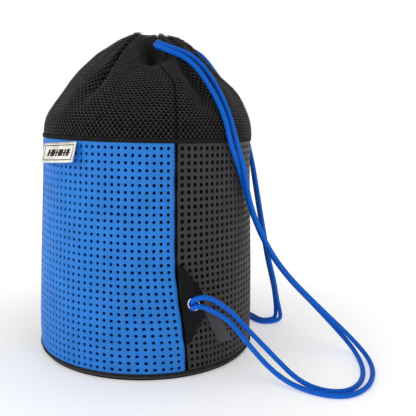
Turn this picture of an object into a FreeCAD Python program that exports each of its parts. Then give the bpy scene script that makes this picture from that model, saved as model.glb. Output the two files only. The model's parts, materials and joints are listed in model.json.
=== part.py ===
"""Drawstring bag for one bowling ball: a perforated wall on a stiff base, a mesh top gathered
by two drawcords, and a sewn tab with an eyelet at each side seam that the cords run down to.

Frame: origin at the middle of the base on the floor, +Z up. The side seams are at +X and -X,
the outer half of the bag faces -Y and the wearer's half faces +Y. Millimetres.
"""
import FreeCAD, Part
import Sketcher
import math
import os

Vector = FreeCAD.Vector
Placement = FreeCAD.Placement
Rotation = FreeCAD.Rotation

doc = FreeCAD.newDocument("drawstring_ball_bag")

# ---------------------------------------------------------------- driving dimensions

DIMENSIONS = [
    # base
    ("disc_radius", 121.5, "outer base disc"),
    ("disc_thickness", 2.5, "outer base disc"),
    ("welt_radius", 124.6, "grey welt round the base, outside"),
    ("welt_inner", 117.0, "grey welt, inside"),
    ("welt_top", 5.6, "height of the welt's upper face"),
    ("binding_radius", 125.2, "black binding tape, outside"),
    ("binding_top", 10.5, "height of the binding's upper edge"),
    ("board_radius", 116.8, "stiffener board"),
    ("board_top", 5.2, "height of the board's upper face"),
    ("pad_radius", 115.5, "foam pad the ball sits on"),
    ("pad_top", 13.5, "height of the pad's upper face"),
    # wall
    ("body_radius", 124.0, "outside radius of the wall up to the belly"),
    ("mouth_radius", 117.6, "outside radius at the wall's upper edge"),
    ("wall_thickness", 4.0, "perforated foam sheet"),
    ("wall_bottom", 5.8, "height of the wall's lower edge"),
    ("belly_height", 55.0, "height where the wall starts to draw in"),
    ("wall_top", 242.0, "height of the wall's upper edge"),
    ("front_seam_angle", 92.0, "degrees from the right side seam to the front seam"),
    ("half_turn", 180.0, "degrees"),
    ("full_turn", 360.0, "degrees"),
    ("seam_flare", 13.0, "how far the side seam runs forward at the bottom"),
    ("flare_top", 130.0, "height where the side seam starts to run forward"),
    ("flare_sweep", 8.0, "degrees of wall that the flare may take"),
    ("clear_of_all", 400.0, "cutting shapes reach past everything"),
    ("tape_thickness", 1.0, "inside seam tape"),
    ("tape_sweep", 6.0, "degrees covered by a seam tape"),
    ("tape_bottom", 14.5, "height of a wall tape's lower end"),
    # mesh top
    ("band_radius", 118.4, "seam band over the wall's upper edge"),
    ("band_inner", 114.4, "seam band, inside"),
    ("band_top", 250.0, "height of the seam band's upper edge"),
    ("mesh_thickness", 3.0, "spacer mesh"),
    ("mesh_step", 2.1, "mesh thickness as seen along X and along Z on the slope"),
    ("shoulder_radius", 104.0, "outside radius where the shoulder ends"),
    ("shoulder_top", 286.0, "height where the shoulder ends"),
    ("shoulder_curve", 52.0, "radius of the shoulder's curve"),
    ("neck_radius", 57.0, "outside radius where the mesh meets the casing"),
    ("neck_top", 338.0, "height where the mesh meets the casing"),
    # drawcord casing
    ("casing_curve", 90.0, "radius of the casing's upper face"),
    ("casing_mouth", 16.0, "radius of the gathered mouth at the top"),
    ("casing_top", 360.0, "height of the gathered mouth"),
    ("casing_lip", 14.0, "radius of the gathered mouth, under side"),
    ("casing_lip_height", 350.5, "height of the gathered mouth, under side"),
    ("casing_foot", 50.2, "radius of the casing's lower inner edge"),
    ("casing_foot_height", 331.8, "height of the casing's lower inner edge"),
    ("casing_slit", 8.0, "degrees each side of a seam left open for the cords"),
    ("outer_ring_radius", 42.3, "drawcord of the right strap in the casing"),
    ("outer_ring_height", 343.0, "drawcord of the right strap in the casing"),
    ("inner_ring_radius", 29.9, "drawcord of the left strap in the casing"),
    ("inner_ring_height", 350.1, "drawcord of the left strap in the casing"),
    ("tunnel_radius", 3.0, "bore of the casing round a drawcord"),
    ("ring_gap", 9.0, "degrees each side of a ring's own slit"),
    # cords
    ("cord_radius", 2.75, "braided cord"),
    ("knot_depth", 4.9, "half the knot's depth, pressed between tab and wall"),
    ("knot_width", 6.5, "half the knot's width"),
    ("knot_height", 8.0, "half the knot's height"),
    # tabs
    ("tab_root", 1.0, "hinge line to the tab's sewn edge"),
    ("tab_width", 24.5, "hinge line to the tab's outer edge"),
    ("tab_height", 87.0, "length of the sewn edge"),
    ("tab_shoulder", 57.0, "where the outer edge ends at the top"),
    ("tab_elbow", 31.0, "where the outer edge ends at the bottom"),
    ("tab_toe", 3.5, "width of the tab's lower end"),
    ("tab_corner", 4.0, "rounding of the tab's outer corners"),
    ("tab_layer", 1.4, "thickness of one tab layer"),
    ("eyelet_across", 14.0, "hinge line to the eyelet's centre"),
    ("eyelet_up", 44.0, "height of the eyelet's centre along the tab"),
    ("eyelet_bore", 4.6, "radius of the eyelet's hole"),
    ("barrel_radius", 5.1, "outside radius of the eyelet's barrel"),
    ("hole_radius", 5.15, "hole punched in a tab layer"),
    ("flange_radius", 6.8, "eyelet flange and washer"),
    ("flange_thickness", 0.6, "eyelet flange and washer"),
    # wear patch
    ("patch_thickness", 0.8, "wear patch"),
    ("patch_sweep", 45.0, "degrees of wall that holds a patch"),
    # label
    ("label_width", 53.0, "label flap"),
    ("label_height", 21.0, "label flap"),
    ("label_layer", 0.7, "thickness of one label layer"),
    ("label_margin", 1.6, "border left round the label's face"),
]

sheet = doc.addObject("Spreadsheet::Sheet", "dims")
for row, (alias, number, note) in enumerate(DIMENSIONS, 1):
    sheet.set(f"A{row}", note)
    sheet.set(f"B{row}", str(number))
    sheet.setAlias(f"B{row}", alias)
doc.recompute()

# Angles and places that only set a Placement.
FRONT_SEAM = -92.0            # direction of the front seam, degrees from +X
TAB_SPREAD = 38.0             # degrees between a tab and the wall's tangent plane
HINGE_FOOT = (124.7, 10.9, 37.0)    # lower end of the right tab's hinge line
HINGE_HEAD = (122.8, 1.6, 124.0)    # upper end of the right tab's hinge line
LABEL_TURN = -60.7            # direction the label faces, degrees from +X
LABEL_TILT = 15.0             # degrees its lower edge stands off the wall
LABEL_HINGE_RADIUS = 118.4
LABEL_HINGE_HEIGHT = 240.6


def total(terms):
    """The sum of signed sheet names, such as "body_radius -wall_thickness". No names sum to 0."""
    return sum(-sheet.get(t[1:]) if t[0] == "-" else sheet.get(t) for t in terms.split())


def formula(terms):
    """The same sum as an expression that a property can be bound to."""
    parts = [f"- dims.{t[1:]}" if t[0] == "-" else f"+ dims.{t}" for t in terms.split()]
    return " ".join(parts).removeprefix("+ ") or "0"


def bind(thing, path, terms):
    thing.setExpression(path, formula(terms))


# ---------------------------------------------------------------- sketches and bodies

def origin_plane(body, role):
    return next(f for f in body.Origin.OriginFeatures if f.Role == role)


def new_body(label):
    body = doc.addObject("PartDesign::Body", label)
    body.Label = label
    return body


def new_sketch(body, role, name, turn=0.0):
    sketch = body.newObject("Sketcher::SketchObject", name)
    sketch.AttachmentSupport = [(origin_plane(body, role), "")]
    sketch.MapMode = "FlatFace"
    sketch.AttachmentOffset = Placement(Vector(0, 0, 0), Rotation(Vector(0, 1, 0), turn))
    return sketch


def arc_edge(start, end, radius):
    """An arc between two points that bulges away from the origin side of its chord. A sketch
    keeps its arcs anticlockwise, so it may run from end to start."""
    chord = end - start
    middle = (start + end) * 0.5
    normal = Vector(-chord.y, chord.x, 0).normalize()
    if normal.dot(middle) < 0:
        normal = normal * -1
    centre = middle - normal * math.sqrt(radius ** 2 - (chord.Length / 2) ** 2)
    crown = math.atan2(normal.y, normal.x)
    half = math.asin(chord.Length / 2 / radius)
    return Part.ArcOfCircle(Part.Circle(centre, Vector(0, 0, 1), radius), crown - half, crown + half)


def draw_outline(sketch, corners, curves=None):
    """Close a loop through corners given as pairs of sheet sums, each held by its distances from
    the sketch's origin. curves maps an edge's number to the sheet sum of its radius."""
    curves = curves or {}
    points = [Vector(total(across), total(up), 0) for across, up in corners]
    first = sketch.GeometryCount
    for i, start in enumerate(points):
        end = points[(i + 1) % len(points)]
        if i in curves:
            edge = arc_edge(start, end, total(curves[i]))
        else:
            edge = Part.LineSegment(start, end)
        sketch.addGeometry(edge, False)
    ends = []
    for i, start in enumerate(points):
        edge = sketch.Geometry[first + i]
        forward = (edge.StartPoint - start).Length < (edge.EndPoint - start).Length
        ends.append((1, 2) if forward else (2, 1))
    for i, (across, up) in enumerate(corners):
        before = (i - 1) % len(points)
        sketch.addConstraint(Sketcher.Constraint(
            "Coincident", first + before, ends[before][1], first + i, ends[i][0]))
        for kind, terms, number in (("DistanceX", across, points[i].x),
                                    ("DistanceY", up, points[i].y)):
            held = sketch.addConstraint(Sketcher.Constraint(
                kind, -1, 1, first + i, ends[i][0], number))
            bind(sketch, f"Constraints[{held}]", terms)
    for i, terms in curves.items():
        held = sketch.addConstraint(Sketcher.Constraint("Radius", first + i, total(terms)))
        bind(sketch, f"Constraints[{held}]", terms)


def draw_circle(sketch, across, up, radius):
    centre = Vector(total(across), total(up), 0)
    ring = sketch.addGeometry(Part.Circle(centre, Vector(0, 0, 1), total(radius)), False)
    rows = (("DistanceX", across, centre.x), ("DistanceY", up, centre.y))
    for kind, terms, number in rows:
        held = sketch.addConstraint(Sketcher.Constraint(kind, -1, 1, ring, 3, number))
        bind(sketch, f"Constraints[{held}]", terms)
    held = sketch.addConstraint(Sketcher.Constraint("Radius", ring, total(radius)))
    bind(sketch, f"Constraints[{held}]", radius)


def revolved(label, corners, sweep="full_turn", start=0.0, curves=None, bores=()):
    """A body turned about Z from the direction start, in degrees from +X, through sweep."""
    body = new_body(label)
    sketch = new_sketch(body, "XZ_Plane", label + "_section", start)
    draw_outline(sketch, corners, curves)
    for across, up, radius in bores:
        draw_circle(sketch, across, up, radius)
    turn = body.newObject("PartDesign::Revolution", label + "_turn")
    turn.Profile = sketch
    turn.ReferenceAxis = (sketch, ["V_Axis"])
    bind(turn, "Angle", sweep)
    return body


def pocket_outward(body, corners):
    """Cut away everything on the +X side inside a loop drawn in the YZ plane."""
    doc.recompute()
    before = body.Shape.Volume
    sketch = new_sketch(body, "YZ_Plane", body.Label + "_trim_outline")
    draw_outline(sketch, corners)
    cut = body.newObject("PartDesign::Pocket", body.Label + "_trim")
    cut.Profile = sketch
    cut.Type = "ThroughAll"
    cut.Reversed = True
    doc.recompute()
    if not body.Shape.Volume < before:
        raise ValueError(f"the trim of {body.Label} cuts nothing")
    return body


def plate(label, corners, thickness, hole=None):
    """A flat body drawn in its XY plane and padded upward, with a round hole if one is given."""
    body = new_body(label)
    sketch = new_sketch(body, "XY_Plane", label + "_outline")
    draw_outline(sketch, corners)
    if hole:
        draw_circle(sketch, *hole)
    pad = body.newObject("PartDesign::Pad", label + "_pad")
    pad.Profile = sketch
    bind(pad, "Length", thickness)
    return body


# ---------------------------------------------------------------- base

def ring_section(inner, outer, low, high):
    return [(inner, low), (outer, low), (outer, high), (inner, high)]


def add_disc(label, radius, height, bottom=None):
    disc = doc.addObject("Part::Cylinder", label)
    disc.Label = label
    bind(disc, "Radius", radius)
    bind(disc, "Height", height)
    if bottom:
        bind(disc, "Placement.Base.z", bottom)
    return disc


base_disc = add_disc("base_disc", "disc_radius", "disc_thickness")
base_board = add_disc("base_board", "board_radius", "board_top -disc_thickness", "disc_thickness")
base_pad = add_disc("base_foam_pad", "pad_radius", "pad_top -board_top", "board_top")
base_welt = revolved("base_welt", ring_section("welt_inner", "welt_radius", "disc_thickness",
                                               "welt_top"))
base_binding = revolved("base_binding", [
    ("body_radius", "welt_top"), ("binding_radius", "welt_top"),
    ("binding_radius", "binding_top"), ("body_radius", "binding_top")])

# ---------------------------------------------------------------- wall

WALL_SECTION = [
    ("body_radius -wall_thickness", "wall_bottom"),
    ("body_radius", "wall_bottom"),
    ("body_radius", "belly_height"),
    ("mouth_radius", "wall_top"),
    ("mouth_radius -wall_thickness", "wall_top"),
    ("body_radius -wall_thickness", "belly_height"),
]

blue_panel = revolved("wall_panel_blue", WALL_SECTION, "front_seam_angle flare_sweep", FRONT_SEAM)
pocket_outward(blue_panel, [
    ("", "flare_top"),
    ("seam_flare", "wall_bottom"),
    ("clear_of_all", "wall_bottom"),
    ("clear_of_all", "clear_of_all"),
    ("", "clear_of_all"),
])
front_panel = revolved("wall_panel_dark_front", WALL_SECTION, "half_turn -front_seam_angle",
                       -180.0)
back_panel = revolved("wall_panel_dark_back", WALL_SECTION, "half_turn")
pocket_outward(back_panel, [
    ("", "wall_bottom"),
    ("seam_flare", "wall_bottom"),
    ("", "flare_top"),
])

TAPE_SECTION = [
    ("body_radius -wall_thickness -tape_thickness", "tape_bottom"),
    ("body_radius -wall_thickness", "tape_bottom"),
    ("body_radius -wall_thickness", "belly_height"),
    ("mouth_radius -wall_thickness", "wall_top"),
    ("mouth_radius -wall_thickness -tape_thickness", "wall_top"),
    ("body_radius -wall_thickness -tape_thickness", "belly_height"),
]
half_tape = sheet.get("tape_sweep") / 2
for label, direction in (("side_seam_tape_right", 0.0), ("side_seam_tape_left", 180.0),
                         ("front_seam_tape", FRONT_SEAM)):
    revolved(label, TAPE_SECTION, "tape_sweep", direction - half_tape)

# ---------------------------------------------------------------- mesh top and casing

seam_band = revolved("seam_band", ring_section("band_inner", "band_radius", "wall_top",
                                               "band_top"))

DOME_SECTION = [
    ("band_radius", "band_top"),
    ("shoulder_radius", "shoulder_top"),
    ("neck_radius", "neck_top"),
    ("neck_radius -mesh_step", "neck_top -mesh_step"),
    ("shoulder_radius -mesh_step", "shoulder_top -mesh_step"),
    ("band_radius -mesh_thickness", "band_top"),
]
DOME_CURVES = {0: "shoulder_curve", 4: "shoulder_curve -mesh_thickness"}
for label, start in (("mesh_top_front", -180.0), ("mesh_top_back", 0.0)):
    revolved(label, DOME_SECTION, "half_turn", start, DOME_CURVES)

DOME_TAPE_SECTION = [
    ("shoulder_radius -mesh_step", "shoulder_top -mesh_step"),
    ("neck_radius -mesh_step", "neck_top -mesh_step"),
    ("neck_radius -mesh_step -tape_thickness", "neck_top -mesh_step -tape_thickness"),
    ("shoulder_radius -mesh_step -tape_thickness", "shoulder_top -mesh_step -tape_thickness"),
]
for label, direction in (("mesh_seam_tape_right", 0.0), ("mesh_seam_tape_left", 180.0)):
    revolved(label, DOME_TAPE_SECTION, "tape_sweep", direction - half_tape)

CASING_SECTION = [
    ("neck_radius", "neck_top"),
    ("casing_mouth", "casing_top"),
    ("casing_lip", "casing_lip_height"),
    ("casing_foot", "casing_foot_height"),
]
CASING_BORES = [("outer_ring_radius", "outer_ring_height", "tunnel_radius"),
                ("inner_ring_radius", "inner_ring_height", "tunnel_radius")]
for label, start in (("casing_front", -180.0), ("casing_back", 0.0)):
    revolved(label, CASING_SECTION, "half_turn -casing_slit -casing_slit",
             start + sheet.get("casing_slit"), {0: "casing_curve"}, CASING_BORES)


def add_drawcord_ring(label, radius, height, direction):
    """A drawcord's run round the casing, open by ring_gap each side of its own slit."""
    ring = doc.addObject("Part::Torus", label)
    ring.Label = label
    bind(ring, "Radius1", radius)
    bind(ring, "Radius2", "cord_radius")
    bind(ring, "Angle3", "full_turn -ring_gap -ring_gap")
    ring.Placement = Placement(Vector(0, 0, sheet.get(height)),
                               Rotation(Vector(0, 0, 1), direction + sheet.get("ring_gap")))
    bind(ring, "Placement.Base.z", height)
    return ring


add_drawcord_ring("drawcord_ring_right", "outer_ring_radius", "outer_ring_height", 0.0)
add_drawcord_ring("drawcord_ring_left", "inner_ring_radius", "inner_ring_height", 180.0)

# ---------------------------------------------------------------- tabs, eyelets and knots

def tab_placement(side, offset):
    """Where a tab piece goes: its own X runs from the hinge line outward, its Y up the hinge
    line, and its Z away from the bag by offset. side is 1 for the right tab, -1 for the left."""
    foot = Vector(side * HINGE_FOOT[0], HINGE_FOOT[1], HINGE_FOOT[2])
    head = Vector(side * HINGE_HEAD[0], HINGE_HEAD[1], HINGE_HEAD[2])
    up = (head - foot).normalize()
    spread = math.radians(TAB_SPREAD)
    out = Vector(side * math.sin(spread), math.cos(spread), 0)
    out = (out - up * out.dot(up)).normalize()
    away = out.cross(up) * side
    return Placement(foot + away * offset, Rotation(out, up * side, away, "XYZ"))


def add_tab_side(name, side):
    """The tab's two layers, its eyelet and washer, the knot and the patch for one side."""
    layer = sheet.get("tab_layer")
    # On the left the piece's own Y runs down the hinge line, so its outline is drawn upside down.
    turned = "" if side > 0 else "-"
    outline = [
        ("tab_root", ""),
        ("tab_toe", ""),
        ("tab_width", turned + "tab_elbow"),
        ("tab_width", turned + "tab_shoulder"),
        ("tab_root", turned + "tab_height"),
    ]
    hole = ("eyelet_across", turned + "eyelet_up", "hole_radius")
    for label, offset in ((f"{name}_tab_outer", 0.0), (f"{name}_tab_inner", -layer)):
        body = plate(label, outline, "tab_layer", hole)
        round_outer_corners(body)
        body.Placement = tab_placement(side, offset)

    centre = Vector(sheet.get("eyelet_across"), side * sheet.get("eyelet_up"), 0)
    eyelet = revolved(f"{name}_eyelet", [
        ("eyelet_bore", "-tab_layer"),
        ("barrel_radius", "-tab_layer"),
        ("barrel_radius", "tab_layer"),
        ("flange_radius", "tab_layer"),
        ("flange_radius", "tab_layer flange_thickness"),
        ("eyelet_bore", "tab_layer flange_thickness"),
    ])
    washer = revolved(f"{name}_eyelet_washer", [
        ("barrel_radius", "-tab_layer -flange_thickness"),
        ("flange_radius", "-tab_layer -flange_thickness"),
        ("flange_radius", "-tab_layer"),
        ("barrel_radius", "-tab_layer"),
    ])
    for piece in (eyelet, washer):
        piece.Placement = tab_placement(side, 0).multiply(Placement(centre, Rotation()))

    knot = doc.addObject("Part::Ellipsoid", f"{name}_cord_knot")
    knot.Label = f"{name}_cord_knot"
    bind(knot, "Radius1", "knot_depth")
    bind(knot, "Radius2", "knot_width")
    bind(knot, "Radius3", "knot_height")
    behind = layer + 2 * sheet.get("flange_thickness") + sheet.get("knot_depth")
    knot.Placement = tab_placement(side, 0).multiply(
        Placement(centre + Vector(2.0, 0, -behind), Rotation()))


def round_outer_corners(body):
    """Fillet the two upright edges at a tab's outer side."""
    doc.recompute()
    width = sheet.get("tab_width")
    edges = [f"Edge{i}" for i, edge in enumerate(body.Shape.Edges, 1)
             if all(abs(v.X - width) < 1e-6 for v in edge.Vertexes)
             and abs(edge.Length - sheet.get("tab_layer")) < 1e-6]
    padded = body.Tip
    fillet = body.newObject("PartDesign::Fillet", body.Label + "_rounding")
    fillet.Base = (padded, edges)
    bind(fillet, "Radius", "tab_corner")


for name, side in (("right", 1), ("left", -1)):
    add_tab_side(name, side)

# ---------------------------------------------------------------- wear patches

# Outline of a patch as seen along X: it starts behind the tab's sewn edge and runs back and down,
# with a notch of bare wall below. Y and Z of each corner.
PATCH_OUTLINE = [(8.5, 116.0), (30.0, 90.0), (42.0, 69.0), (63.5, 38.0), (72.0, 27.0),
                 (48.0, 31.0), (41.0, 49.0), (30.0, 60.0), (21.0, 36.0), (17.5, 36.0)]
PATCH_REACH = 80.0            # the prism starts this far out, clear of the bag's far side
SKIN_SECTION = [
    ("body_radius", "wall_bottom"),
    ("body_radius patch_thickness", "wall_bottom"),
    ("body_radius patch_thickness", "belly_height"),
    ("mouth_radius patch_thickness", "wall_top"),
    ("mouth_radius", "wall_top"),
    ("body_radius", "belly_height"),
]


def add_wear_patch(name, side):
    """A skin on the wall, trimmed by a prism through the patch's outline."""
    start = 0.0 if side > 0 else sheet.get("half_turn") - sheet.get("patch_sweep")
    skin = revolved(f"{name}_patch_skin", SKIN_SECTION, "patch_sweep", start)
    outline = Part.makePolygon([Vector(side * PATCH_REACH, y, z)
                                for y, z in PATCH_OUTLINE + PATCH_OUTLINE[:1]])
    prism = doc.addObject("Part::Feature", f"{name}_patch_prism")
    prism.Shape = Part.Face(outline).extrude(Vector(side * PATCH_REACH, 0, 0))
    patch = doc.addObject("Part::Common", f"{name}_wear_patch")
    patch.Label = f"{name}_wear_patch"
    patch.Base = skin
    patch.Tool = prism


for name, side in (("right", 1), ("left", -1)):
    add_wear_patch(name, side)

# ---------------------------------------------------------------- label

def add_label_layer(label, width, height, margin, lift):
    """One layer of the label flap. It hangs from its hinge line, which is its own X axis."""
    layer = doc.addObject("Part::Box", label)
    layer.Label = label
    bind(layer, "Length", width)
    bind(layer, "Width", "label_layer")
    bind(layer, "Height", height)
    hinge = Placement(Vector(0, 0, LABEL_HINGE_HEIGHT), Rotation(Vector(0, 0, 1), LABEL_TURN))
    tilt = Placement(Vector(LABEL_HINGE_RADIUS, 0, 0), Rotation(Vector(0, 1, 0), -LABEL_TILT))
    corner = Vector(lift, -total(width) / 2, -total(height) - margin)
    turn = Rotation(Vector(0, 0, 1), 90)
    layer.Placement = hinge.multiply(tilt).multiply(Placement(
        corner + Vector(sheet.get("label_layer"), 0, 0), turn))
    return layer


add_label_layer("label_backing", "label_width", "label_height", 0.0, 0.3)
add_label_layer("label_face", "label_width -label_margin -label_margin",
                "label_height -label_margin -label_margin", sheet.get("label_margin"),
                0.3 + sheet.get("label_layer"))

# ---------------------------------------------------------------- shoulder cords

# Each strand from the casing's slit to its eyelet. The right pair goes over the front of the
# shoulder, down to the floor beside the bag, round a loop and back up. The left pair goes over
# the back of the dome, down behind the bag and along the floor.
STRANDS = {
    "right_strap_strand_a": [
        (54, -5, 344.5), (62, -0.9, 340.5), (66.5, 12, 336.5), (67, 27, 332), (70, 41, 321),
        (78.5, 50, 306), (92.1, 55.2, 289.8), (102.2, 61.2, 268.8), (104.2, 68, 244.6),
        (99.6, 80, 214.2), (90.2, 90.4, 179.7), (83, 107, 145), (79.5, 128, 111),
        (80.5, 151.5, 83), (85, 174, 60.5), (93, 194, 40.5), (104.5, 209.5, 24.5),
        (120, 219, 12), (138, 220.5, 5), (159, 213, 3), (179, 200.5, 3), (197, 184, 3),
        (208, 166, 3), (211.5, 148, 3), (205, 131.5, 3), (190, 117, 3), (172, 105, 5),
        (156, 92, 14.5), (145, 76.5, 33), (137.2, 55.2, 60.5), (139.6, 48, 66.4),
        (142, 40.9, 71.8), (144.5, 33.1, 77), (146.4, 25.4, 81.6), (147, 19.6, 83.9),
        (145.4, 15.4, 83.6), (142.9, 13.6, 81.9), (139.9, 13.1, 80.1), (136.8, 14, 79.1),
        (134.7, 15.7, 79)],
    "right_strap_strand_b": [
        (58, -8, 341), (65, -5, 338), (71, 6.5, 333), (73.5, 21.5, 327.5), (78, 34, 316),
        (87.5, 42, 301), (99.9, 48.2, 284.9), (107.6, 55.3, 263.8), (106, 61.9, 238.4),
        (94.3, 77.2, 212.2), (82.4, 92.4, 177.3), (75.5, 109, 142.5), (72, 130.5, 107.5),
        (73, 154.5, 78.5), (77.5, 177, 56), (86, 196, 35), (98, 209, 19), (114.5, 214.5, 8.5),
        (132, 212, 4), (153, 204, 3), (172.5, 193, 3), (189.5, 178.5, 3), (200, 162.5, 3),
        (202, 147.5, 3), (195, 133.5, 3), (181, 123, 3.5), (165, 114, 8), (151.5, 102, 21),
        (141, 86.5, 38), (134, 70, 56), (139.8, 53.4, 74), (142.2, 45.5, 79.9),
        (144.7, 37.9, 85.8), (146.4, 30.9, 90.4), (147.8, 23.6, 93.2), (147.6, 17.4, 92.9),
        (145.7, 14, 91.3), (142.9, 12.4, 89.1), (139.8, 12.3, 86.8), (136.8, 13.4, 85.3),
        (134.6, 15.1, 84.9)],
    "left_strap_strand_a": [
        (-54, 5, 348), (-59.7, 12.3, 348.4), (-55, 25.5, 346.5), (-43.5, 39, 348.5),
        (-28.5, 50, 349), (-14, 60, 346), (-6, 70.5, 338), (-2.8, 83.5, 322),
        (-3.5, 97.6, 305), (-4.4, 110.9, 286.2), (-4.5, 120.9, 262.2), (-2, 126.5, 236),
        (2.7, 131.5, 208), (1.7, 139.9, 169.9), (-2.6, 150.5, 127.9), (-7.1, 161.5, 87.9),
        (-11.6, 173.1, 54.9), (-14.9, 179.5, 30), (-16.8, 185, 13), (-13, 185.5, 4),
        (-4.5, 178, 3), (0, 165.5, 3), (-2.5, 154, 3), (-13, 147.5, 3), (-33, 145.3, 3),
        (-60, 139, 3), (-88, 131.5, 3), (-113, 118.5, 3.5), (-131, 100, 10), (-139.5, 81, 26),
        (-137.3, 62.3, 45.8), (-136.1, 54.5, 60.2), (-139.5, 47.9, 66.4), (-142, 40.9, 71.8),
        (-144.5, 33.1, 77), (-146.4, 25.4, 81.6), (-147, 19.6, 83.9), (-145.4, 15.4, 83.6),
        (-142.9, 13.6, 81.9), (-139.9, 13.1, 80.1), (-136.8, 14, 79.1), (-134.7, 15.7, 79)],
    "left_strap_strand_b": [
        (-58, 8, 342.5), (-65.1, 15, 340.3), (-60.5, 28.5, 340.5), (-49.5, 42.5, 342.5),
        (-33.5, 54.5, 343.5), (-19, 65, 340), (-11, 75.5, 331.5), (-8.9, 87.9, 315.5),
        (-9.9, 102, 298), (-10.5, 115, 279), (-10.5, 125, 256), (-8, 130, 230),
        (-3.2, 133.6, 202), (-5.3, 142, 163.1), (-9.9, 153, 120.1), (-14.5, 163.9, 80.1),
        (-18.8, 174.9, 48), (-21.5, 180.3, 25), (-21.6, 181.8, 11), (-17, 179.5, 3.5),
        (-10.5, 172.3, 3), (-8.5, 162.3, 3), (-13, 154.8, 3), (-24.5, 153.2, 3), (-41, 149.6, 3),
        (-66, 144.5, 3), (-95, 137.5, 3), (-121, 124, 3), (-140, 105, 6.5), (-149, 85, 20.5),
        (-144.3, 67, 41), (-141.6, 58.5, 58.3), (-139.9, 53.4, 74), (-142.2, 45.5, 79.9),
        (-144.7, 37.9, 85.8), (-146.4, 30.9, 90.4), (-147.8, 23.6, 93.2), (-147.6, 17.4, 92.9),
        (-145.7, 14, 91.3), (-142.9, 12.4, 89.1), (-139.8, 12.3, 86.8), (-136.8, 13.4, 85.3),
        (-134.6, 15.1, 84.9)],
}


def arc_path(points):
    """Straight runs joined by arcs as large as the two runs at each point allow."""
    points = [Vector(*p) for p in points]
    edges = []
    radii = []
    here = points[0]
    for before, corner, after in zip(points, points[1:], points[2:]):
        back = (before - corner).normalize()
        ahead = (after - corner).normalize()
        half_turn = (math.pi - back.getAngle(ahead)) / 2
        cut = 0.45 * min((before - corner).Length, (after - corner).Length)
        radius = cut / math.tan(half_turn)
        inward = (back + ahead).normalize()
        centre = corner + inward * (radius / math.cos(half_turn))
        start, end = corner + back * cut, corner + ahead * cut
        edges.append(Part.LineSegment(here, start).toShape())
        edges.append(Part.Arc(start, centre - inward * radius, end).toShape())
        radii.append(radius)
        here = end
    edges.append(Part.LineSegment(here, points[-1]).toShape())
    return Part.Wire(edges), radii


def add_strand(label, points):
    path, radii = arc_path(points)
    radius = sheet.get("cord_radius")
    start = Vector(*points[0])
    along = (Vector(*points[1]) - start).normalize()
    section = Part.Wire(Part.Circle(start, along, radius).toShape())
    tube = path.makePipeShell([section], True, True)
    expected = math.pi * radius ** 2 * path.Length
    if abs(tube.Volume - expected) > 0.01 * expected:
        raise ValueError(f"{label} has {tube.Volume:.0f} mm3, not {expected:.0f}")
    strand = doc.addObject("Part::Feature", label)
    strand.Label = label
    strand.Shape = tube
    strand.Placement = Placement()
    print(f"{label}: {path.Length:.0f} mm long, smallest radii "
          f"{', '.join(f'{r:.0f}' for r in sorted(radii)[:6])}")
    return strand


for label, points in STRANDS.items():
    add_strand(label, points)

# ---------------------------------------------------------------- checks and files

HELPERS = ("patch_skin", "patch_prism")


def is_node(thing):
    shaped = thing.TypeId == "PartDesign::Body" or (
        hasattr(thing, "Shape") and thing.TypeId.startswith("Part::"))
    return shaped and not thing.Name.endswith(HELPERS)


doc.recompute()
for thing in doc.Objects:
    if {"Invalid", "Error"} & set(thing.State):
        raise ValueError(f"{thing.Label} is {thing.State}")

os.makedirs("parts", exist_ok=True)
for thing in filter(is_node, doc.Objects):
    shape = thing.Shape
    if shape.isNull() or not shape.isValid():
        raise ValueError(f"{thing.Label} has no valid shape")
    shape.exportStep(f"parts/{thing.Label}.step")
    print(f"{thing.Label}: {len(shape.Solids)} solid, {shape.Volume / 1000:.2f} cm3")
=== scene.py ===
"""Looks of a drawstring bag for one bowling ball: perforated foam wall, gathered mesh top, braided
shoulder cords, sewn tabs with eyelets. Metres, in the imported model's frame."""

import json
import math
import random

import bpy
import numpy as np
from mathutils import Matrix, Vector
from mathutils.kdtree import KDTree


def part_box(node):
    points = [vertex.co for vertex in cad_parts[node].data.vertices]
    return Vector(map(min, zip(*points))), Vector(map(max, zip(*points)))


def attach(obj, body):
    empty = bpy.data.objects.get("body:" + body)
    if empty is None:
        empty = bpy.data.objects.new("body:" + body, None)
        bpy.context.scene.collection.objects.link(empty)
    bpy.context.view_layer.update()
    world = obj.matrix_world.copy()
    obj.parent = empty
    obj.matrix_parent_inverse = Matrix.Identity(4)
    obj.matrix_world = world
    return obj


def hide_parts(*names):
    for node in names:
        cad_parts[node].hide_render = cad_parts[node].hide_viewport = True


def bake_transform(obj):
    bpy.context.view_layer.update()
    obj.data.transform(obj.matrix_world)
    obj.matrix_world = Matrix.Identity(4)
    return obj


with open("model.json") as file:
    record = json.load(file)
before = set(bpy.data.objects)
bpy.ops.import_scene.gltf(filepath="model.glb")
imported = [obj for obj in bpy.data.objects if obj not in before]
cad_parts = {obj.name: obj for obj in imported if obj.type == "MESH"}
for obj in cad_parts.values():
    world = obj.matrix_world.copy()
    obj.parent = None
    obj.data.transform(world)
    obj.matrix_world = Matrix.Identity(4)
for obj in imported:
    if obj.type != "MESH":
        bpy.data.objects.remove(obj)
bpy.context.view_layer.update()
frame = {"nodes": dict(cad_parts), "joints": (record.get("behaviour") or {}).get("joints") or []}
MM = 0.001
scene = bpy.context.scene

# ---------------------------------------------------------------- general helpers


def smoothstep(x, low, high):
    """Eases from 0 at low to 1 at high."""
    t = np.clip((np.asarray(x, float) - low) / (high - low), 0, 1)
    return t * t * (3 - 2 * t)


def bell(x, width):
    """A bump of height 1 round zero."""
    return np.exp(-(np.asarray(x, float) / width) ** 2)


def length_along(line):
    """Distance from a line's first point to each of its points."""
    return np.concatenate([[0], np.cumsum(np.linalg.norm(np.diff(line, axis=0), axis=1))])


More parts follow.
